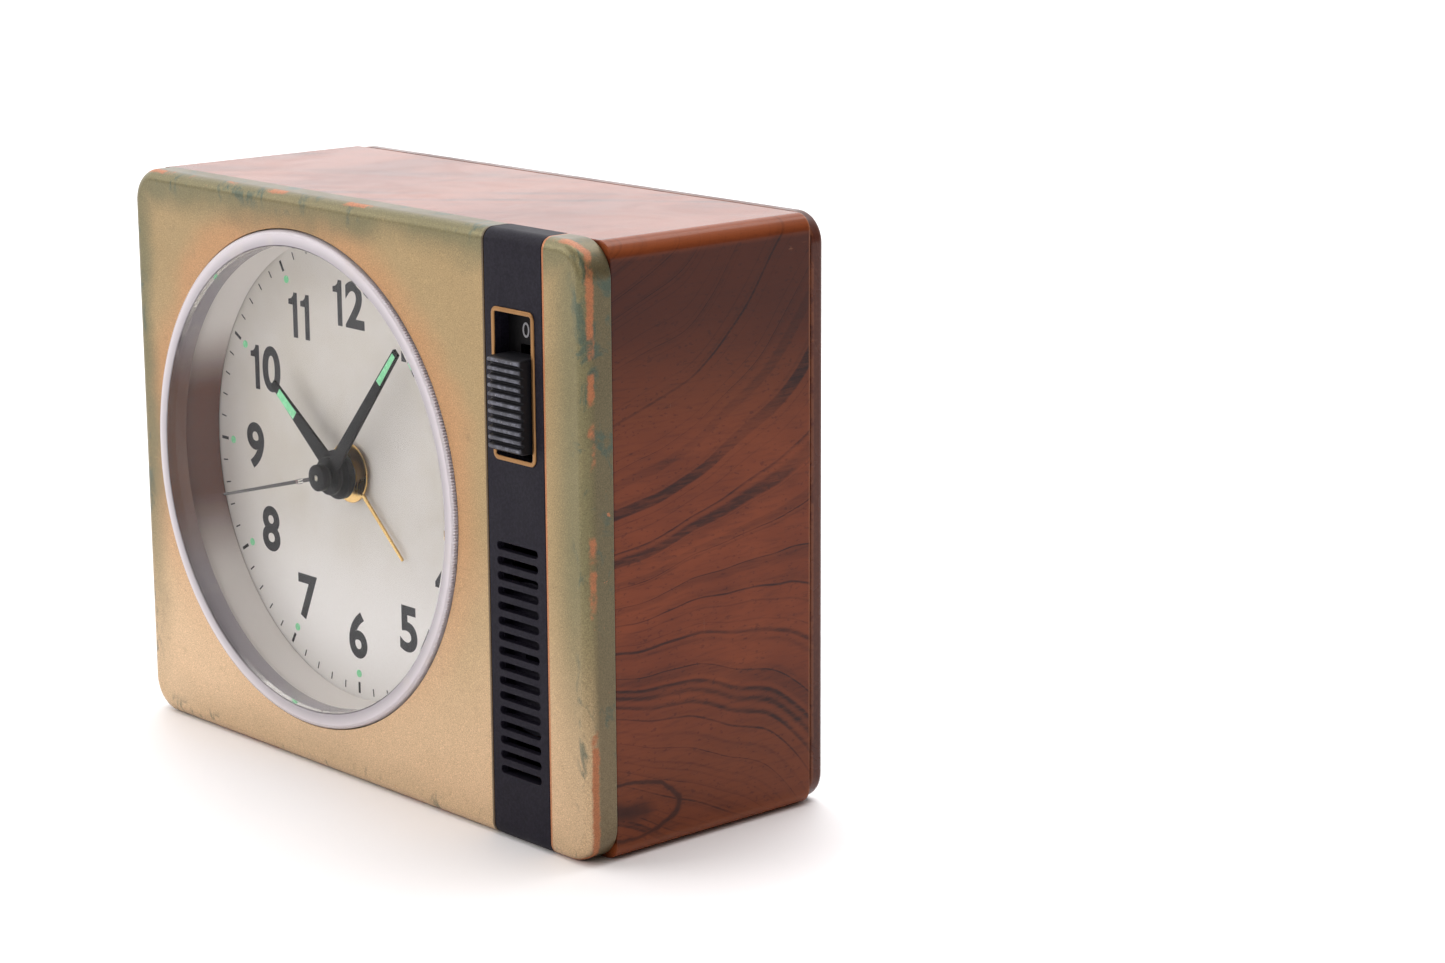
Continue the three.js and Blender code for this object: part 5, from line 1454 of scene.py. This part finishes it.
def grain_level(wires, place):
    """The height of the growth ring at a point: rings fan upwards to the back, and wander."""
    x, y, z = wires.parts(place)
    sweep = wires.noise(wires.stretched(place, (0.5, 0.9, 0.6)), 36 * MM, 1.0, 0.4)
    ripple = wires.noise(wires.stretched(place, (0.7, 1.0, 0.5)), 15 * MM, 1.0, 0.5)
    fan = wires.times(wires.minus(z, 0.45 * HEIGHT), wires.times(y, -19.0))
    level = wires.plus(wires.plus(z, x, 0.8), fan)
    level = wires.plus(level, sweep, 17 * MM)
    return wires.plus(level, ripple, 3.5 * MM)


def grain_wave(wires, level, spacing):
    """A smooth one-dimensional wave of the level."""
    return wires.add("ShaderNodeTexNoise", {
        "W": wires.math("DIVIDE", level, spacing), "Scale": 1.0, "Detail": 1.0, "Roughness": 0.5,
    }, noise_dimensions="1D").outputs["Fac"]


def grain_shadow(wires, level, spacing):
    """The soft dark side of each bold line."""
    off_middle = wires.apart(grain_wave(wires, level, spacing), 0.54)
    return wires.fade(off_middle, 0.045, 0.0, 0.0, 0.25)


def grain_lines(wires, level, spacing, width):
    """Thin dark lines wherever the wave of the level crosses its middle."""
    wave = grain_wave(wires, level, spacing)
    return wires.fade(wires.apart(wave, 0.5), width, width * 0.12)


def grain_knot(wires, place):
    """A dark knot low on the right side, close behind the front frame."""
    middle = (SLEEVE_HIGH.x, SLEEVE_LOW.y + 2 * MM, 7 * MM)
    away = wires.vector("MULTIPLY", wires.vector("SUBTRACT", place, middle), (1.0, 0.42, 1.0))
    reach = wires.length(away)
    reach = wires.plus(reach, wires.noise(place, 5 * MM, 2.0), 2 * MM)
    core = wires.fade(reach, 3.6 * MM, 1.6 * MM, 0.0, 0.9)
    halo = wires.fade(wires.apart(reach, 5.2 * MM), 0.5 * MM, 0.1 * MM)
    return wires.larger(core, wires.times(halo, 0.8))


def corner_mask(wires, x, z):
    """1 along the four rounded corners that run from front to back, where the wood gets a painted
    highlight.
    """
    along_x = wires.fade(wires.math("ABSOLUTE", x), WIDTH / 2 - 3.4 * MM, WIDTH / 2 - 1.2 * MM)
    up = wires.apart(z, MIDDLE_Z)
    along_z = wires.fade(up, MIDDLE_Z - 3.4 * MM, MIDDLE_Z - 1.2 * MM)
    return wires.times(along_x, along_z)


def brown_plastic():
    material, wires, shader, place = new_finish("glossy_brown_plastic")
    y = wires.parts(place)["Y"]
    handling = handled(wires, place)
    scratches = scratched(wires, place, 0.35)
    speckle = speckled(wires, place, 1300.0)
    streaks = wires.noise(wires.stretched(place, (1.0, 0.3, 1.0)), 22 * MM, 3.0, 0.5)
    colour = wires.blend(wires.fade(streaks, 0.3, 0.75), tint(84, 43, 31), tint(72, 36, 27))
    colour = wires.blend(wires.fade(speckle["Grain"], 0.4, 0.8, 0.0, 0.35), colour, tint(104, 58, 42))
    rim = wires.fade(wires.minus(COVER_START + 0.7 * MM, y), 0.0, 0.4 * MM)
    chipped = wires.fade(wires.noise(place, 3.2 * MM, 5.0, 0.65), 0.4, 0.55)
    colour = wires.blend(wires.times(wires.times(rim, chipped), 0.4), colour, tint(140, 84, 54))
    colour = wires.blend(wires.times(scratches, 0.45), colour, tint(160, 110, 84))
    wires.feed(shader["Base Color"], colour)
    wires.feed(shader["Roughness"], wires.plus(0.24, handling["Smudge"], 0.14))
    shader["Specular IOR Level"].default_value = 0.2
    shader["Coat Weight"].default_value = 0.06
    wires.feed(shader["Normal"], wires.bump(speckle["Grain"], 0.12, 0.01 * MM))
    return material


def wound_copper():
    material, wires, shader, place = new_finish("enamelled_copper_wire")
    x = wires.parts(place)["X"]
    turns = wires.math("SINE", wires.times(x, 2 * math.pi / (0.22 * MM)))
    layers = wires.noise(wires.stretched(place, (3.0, 1.0, 1.0)), 1.4 * MM, 3.0)
    shade = wires.plus(wires.times(turns, 0.25), layers)
    colour = wires.blend(wires.fade(shade, 0.2, 0.9), tint(118, 52, 30), tint(204, 112, 62))
    wires.feed(shader["Base Color"], colour)
    wires.feed(shader["Metallic"], wires.fade(layers, 0.2, 0.8, 0.75, 0.95))
    wires.feed(shader["Roughness"], wires.plus(0.25, layers, 0.2))
    wires.feed(shader["Normal"], wires.bump(turns, 0.6, 0.05 * MM))
    return material


def green_board():
    material, wires, shader, place = new_finish("green_circuit_board")
    z = wires.parts(place)["Z"]
    tracks = wires.math("SINE", wires.times(wires.plus(z, wires.noise(place, 8 * MM)), 1400.0))
    traced = wires.fade(tracks, 0.55, 0.7)
    weave = wires.noise(place, 0.4 * MM, 3.0)
    colour = wires.blend(wires.times(weave, 0.5), tint(38, 108, 62), tint(24, 74, 44))
    wires.feed(shader["Base Color"], wires.blend(wires.times(traced, 0.5), colour, tint(86, 158, 92)))
    wires.feed(shader["Roughness"], wires.plus(0.3, weave, 0.2))
    wires.feed(shader["Normal"], wires.bump(traced, 0.4, 0.03 * MM))
    return material


def cell_label():
    material, wires, shader, place = new_finish("printed_cell_sleeve")
    x = wires.parts(place)["X"]
    low, high = span("battery_cell")
    banded = wires.fade(x, high.x - 15.2 * MM, high.x - 15 * MM)
    handling = handled(wires, place)
    speckle = speckled(wires, place, 1800.0)
    flat_end = wires.fade(x, low.x + 0.6 * MM, low.x + 0.4 * MM)
    button_end = wires.fade(x, high.x - 1.6 * MM, high.x - 1.4 * MM)
    metal_ends = wires.larger(flat_end, button_end)
    colour = wires.blend(banded, tint(44, 56, 102), tint(190, 150, 74))
    colour = wires.blend(metal_ends, colour, tint(196, 198, 200))
    colour = wires.blend(wires.times(handling["Smudge"], 0.2), colour, tint(60, 60, 66))
    wires.feed(shader["Base Color"], colour)
    wires.feed(shader["Metallic"], wires.larger(metal_ends, wires.times(banded, 0.6)))
    wires.feed(shader["Roughness"], wires.plus(0.28, handling["Smudge"], 0.15))
    wires.feed(shader["Normal"], wires.bump(speckle["Grain"], 0.1, 0.01 * MM))
    return material


# ------------------------------------------------------------------ camera, floor and light
CAMERA_EYE = (0.40762, -0.31705, 0.16128)
CAMERA_ANGLES = (47.717, 12.866, -0.276)
CAMERA_LENS = 84.40
CAMERA_SENSOR = 36
FLOOR_REACH = 6
CLOCK_MIDDLE = (0, 0, 0.045)


def place_camera():
    eye = Vector(CAMERA_EYE)
    yaw, pitch, roll = (math.radians(angle) for angle in CAMERA_ANGLES)
    back = Vector((math.sin(yaw) * math.cos(pitch), -math.cos(yaw) * math.cos(pitch), math.sin(pitch)))
    level_right = (-back).cross(Vector((0, 0, 1))).normalized()
    level_up = level_right.cross(-back)
    right = math.cos(roll) * level_right + math.sin(roll) * level_up
    up = math.cos(roll) * level_up - math.sin(roll) * level_right
    lens = bpy.data.cameras.new("clock_camera")
    lens.lens = CAMERA_LENS
    lens.sensor_width = CAMERA_SENSOR
    lens.sensor_fit = "HORIZONTAL"
    lens.clip_start = 0.01
    holder = bpy.data.objects.new("clock_camera", lens)
    turn = Matrix((right, up, back)).transposed().to_4x4()
    holder.matrix_world = Matrix.Translation(eye) @ turn
    bpy.context.scene.collection.objects.link(holder)
    bpy.context.scene.camera = holder


def floor_paint():
    material, wires, shader, place = new_finish("pale_floor")
    shader["Base Color"].default_value = (0.93, 0.925, 0.935, 1)
    grain = wires.noise(place, 40 * MM, 2.0)
    wires.feed(shader["Roughness"], wires.plus(0.55, grain, 0.08))
    return material


def place_floor():
    floor = bmesh.new()
    corners = [(-1, -1), (1, -1), (1, 1), (-1, 1)]
    floor.faces.new([floor.verts.new((x * FLOOR_REACH, y * FLOOR_REACH, 0)) for x, y in corners])
    ground = mesh_object("pale_floor_sheet", floor)
    ground.data.materials.append(floor_paint())


def area_light(name, place, target, size, power, colour=(1, 1, 1)):
    light = bpy.data.lights.new(name, "AREA")
    light.shape = "RECTANGLE"
    light.size, light.size_y = size
    light.energy = power
    light.color = colour
    holder = bpy.data.objects.new(name, light)
    aim = Vector(target) - Vector(place)
    holder.matrix_world = Matrix.Translation(place) @ aim.to_track_quat("-Z", "Y").to_matrix().to_4x4()
    bpy.context.scene.collection.objects.link(holder)


def place_lights():
    """White light from the left and behind, dim warm light from the right."""
    world = bpy.data.worlds.new("studio_world")
    world.use_nodes = True
    wires = Wires(world.node_tree)
    sky = world.node_tree.nodes["Background"]
    way = wires.add("ShaderNodeTexCoord").outputs["Generated"]
    to_window = (-0.62, 0.42, 0.66)
    towards = wires.add("ShaderNodeVectorMath", {0: way, 1: to_window}, operation="DOT_PRODUCT")
    bright = wires.fade(towards.outputs["Value"], -0.1, 0.9)
    wires.feed(sky.inputs["Color"], wires.blend(bright, (0.75, 0.62, 0.55, 1), (1, 0.99, 1, 1)))
    wires.feed(sky.inputs["Strength"], wires.plus(0.16, bright, 1.45))
    bpy.context.scene.world = world
    area_light("window_light", (-1.1, -1.3, 0.9), CLOCK_MIDDLE, (1.2, 1.0), 10, (1, 0.985, 0.97))
    area_light("room_light", (0.45, -1.45, 0.95), CLOCK_MIDDLE, (0.9, 0.9), 5, (1, 0.98, 0.96))
    area_light("top_light", (-0.2, 0.4, 1.6), CLOCK_MIDDLE, (1.6, 1.6), 20)
    bpy.context.scene.view_settings.view_transform = "Standard"


# ------------------------------------------------------------------ the whole clock
def finish_inner_parts(finishes):
    """Gives every part that still shows from the frame its procedural material."""
    for part in frame["record"]["subparts"]:
        node = frame["nodes"][part["node"]]
        if node.hide_render:
            continue
        node.data.materials.clear()
        node.data.materials.append(finishes[part["material_slot"]])


def build_clock():
    finishes = {
        "gold_paint": gold_paint(),
        "black_plastic": moulded_plastic(
            "charcoal_plastic", tint(22, 20, 30), tint(48, 45, 58), 2800.0, 0.5, 0.12,
        ),
        "gold_trim": bright_metal("gilt_line", tint(156, 118, 78), tint(104, 74, 46), 0.36),
        "slate_plastic": ribbed_slate(),
        "clear_lens": clear_acrylic(),
        "white_plastic": white_plastic(),
        "dial_cream": cream_paint(),
        "dial_print": printed("dial_ink", tint(34, 34, 38), tint(78, 78, 82)),
        "hand_black": moulded_plastic(
            "satin_black_enamel", tint(9, 9, 10), tint(26, 26, 28), 3600.0, 0.4, 0.2,
        ),
        "hand_gold": bright_metal("polished_gilt", tint(216, 180, 116), tint(156, 122, 70), 0.2),
        "luminous": luminous_fill(),
        "wood_grain": wood_grain(),
        "brown_plastic": brown_plastic(),
        "brass": bright_metal("machined_brass", tint(214, 174, 98), tint(150, 112, 56), 0.25),
        "steel": bright_metal("zinc_steel", tint(186, 188, 192), tint(124, 122, 118), 0.28),
        "nylon": moulded_plastic("natural_nylon", tint(226, 220, 202), tint(196, 186, 160), 1400.0, 0.45),
        "copper": wound_copper(),
        "board_green": green_board(),
        "cell_label": cell_label(),
    }
    light_ink = printed("pale_ink", tint(150, 150, 154), tint(110, 110, 116))
    dark_ink = finishes["dial_print"]
    build_bezel(finishes["gold_paint"])
    build_strip(finishes["black_plastic"])
    build_switch_trim(finishes["gold_trim"])
    recess_black = moulded_plastic(
        "recess_black", tint(10, 9, 11), tint(26, 24, 28), 2800.0, 0.5, 0.15,
    )
    build_switch_floor(recess_black)
    build_off_mark(light_ink)
    build_switch_knob(finishes["slate_plastic"])
    build_lens_window(finishes["clear_lens"])
    build_lens_edge(frosted_edge())
    build_surround(finishes["white_plastic"])
    build_dial(finishes["dial_cream"])
    build_dial_print(dark_ink)
    build_lume_dots(finishes["luminous"])
    build_minute_hand(finishes["hand_black"], finishes["luminous"])
    build_hour_hand(finishes["hand_black"], finishes["luminous"])
    needle_grey = moulded_plastic("grey_needle_enamel", tint(66, 62, 60), tint(104, 100, 96), 3600.0, 0.4)
    build_second_hand(finishes["hand_black"], needle_grey)
    build_alarm_hand(finishes["hand_gold"])
    build_sleeve(finishes["wood_grain"])
    build_cover(finishes["brown_plastic"])
    build_door(finishes["brown_plastic"])
    build_cell(finishes["cell_label"])
    build_knob(
        "time_set_knob", "time_turning_knob", finishes["black_plastic"],
        "time_setter", light_ink,
    )
    build_knob(
        "alarm_set_knob", "alarm_turning_knob", finishes["brass"],
        "alarm_setter", dark_ink,
    )
    for number in range(1, 5):
        build_case_screw(number, finishes["steel"])
    finish_inner_parts(finishes)


place_camera()
place_floor()
place_lights()
build_clock()
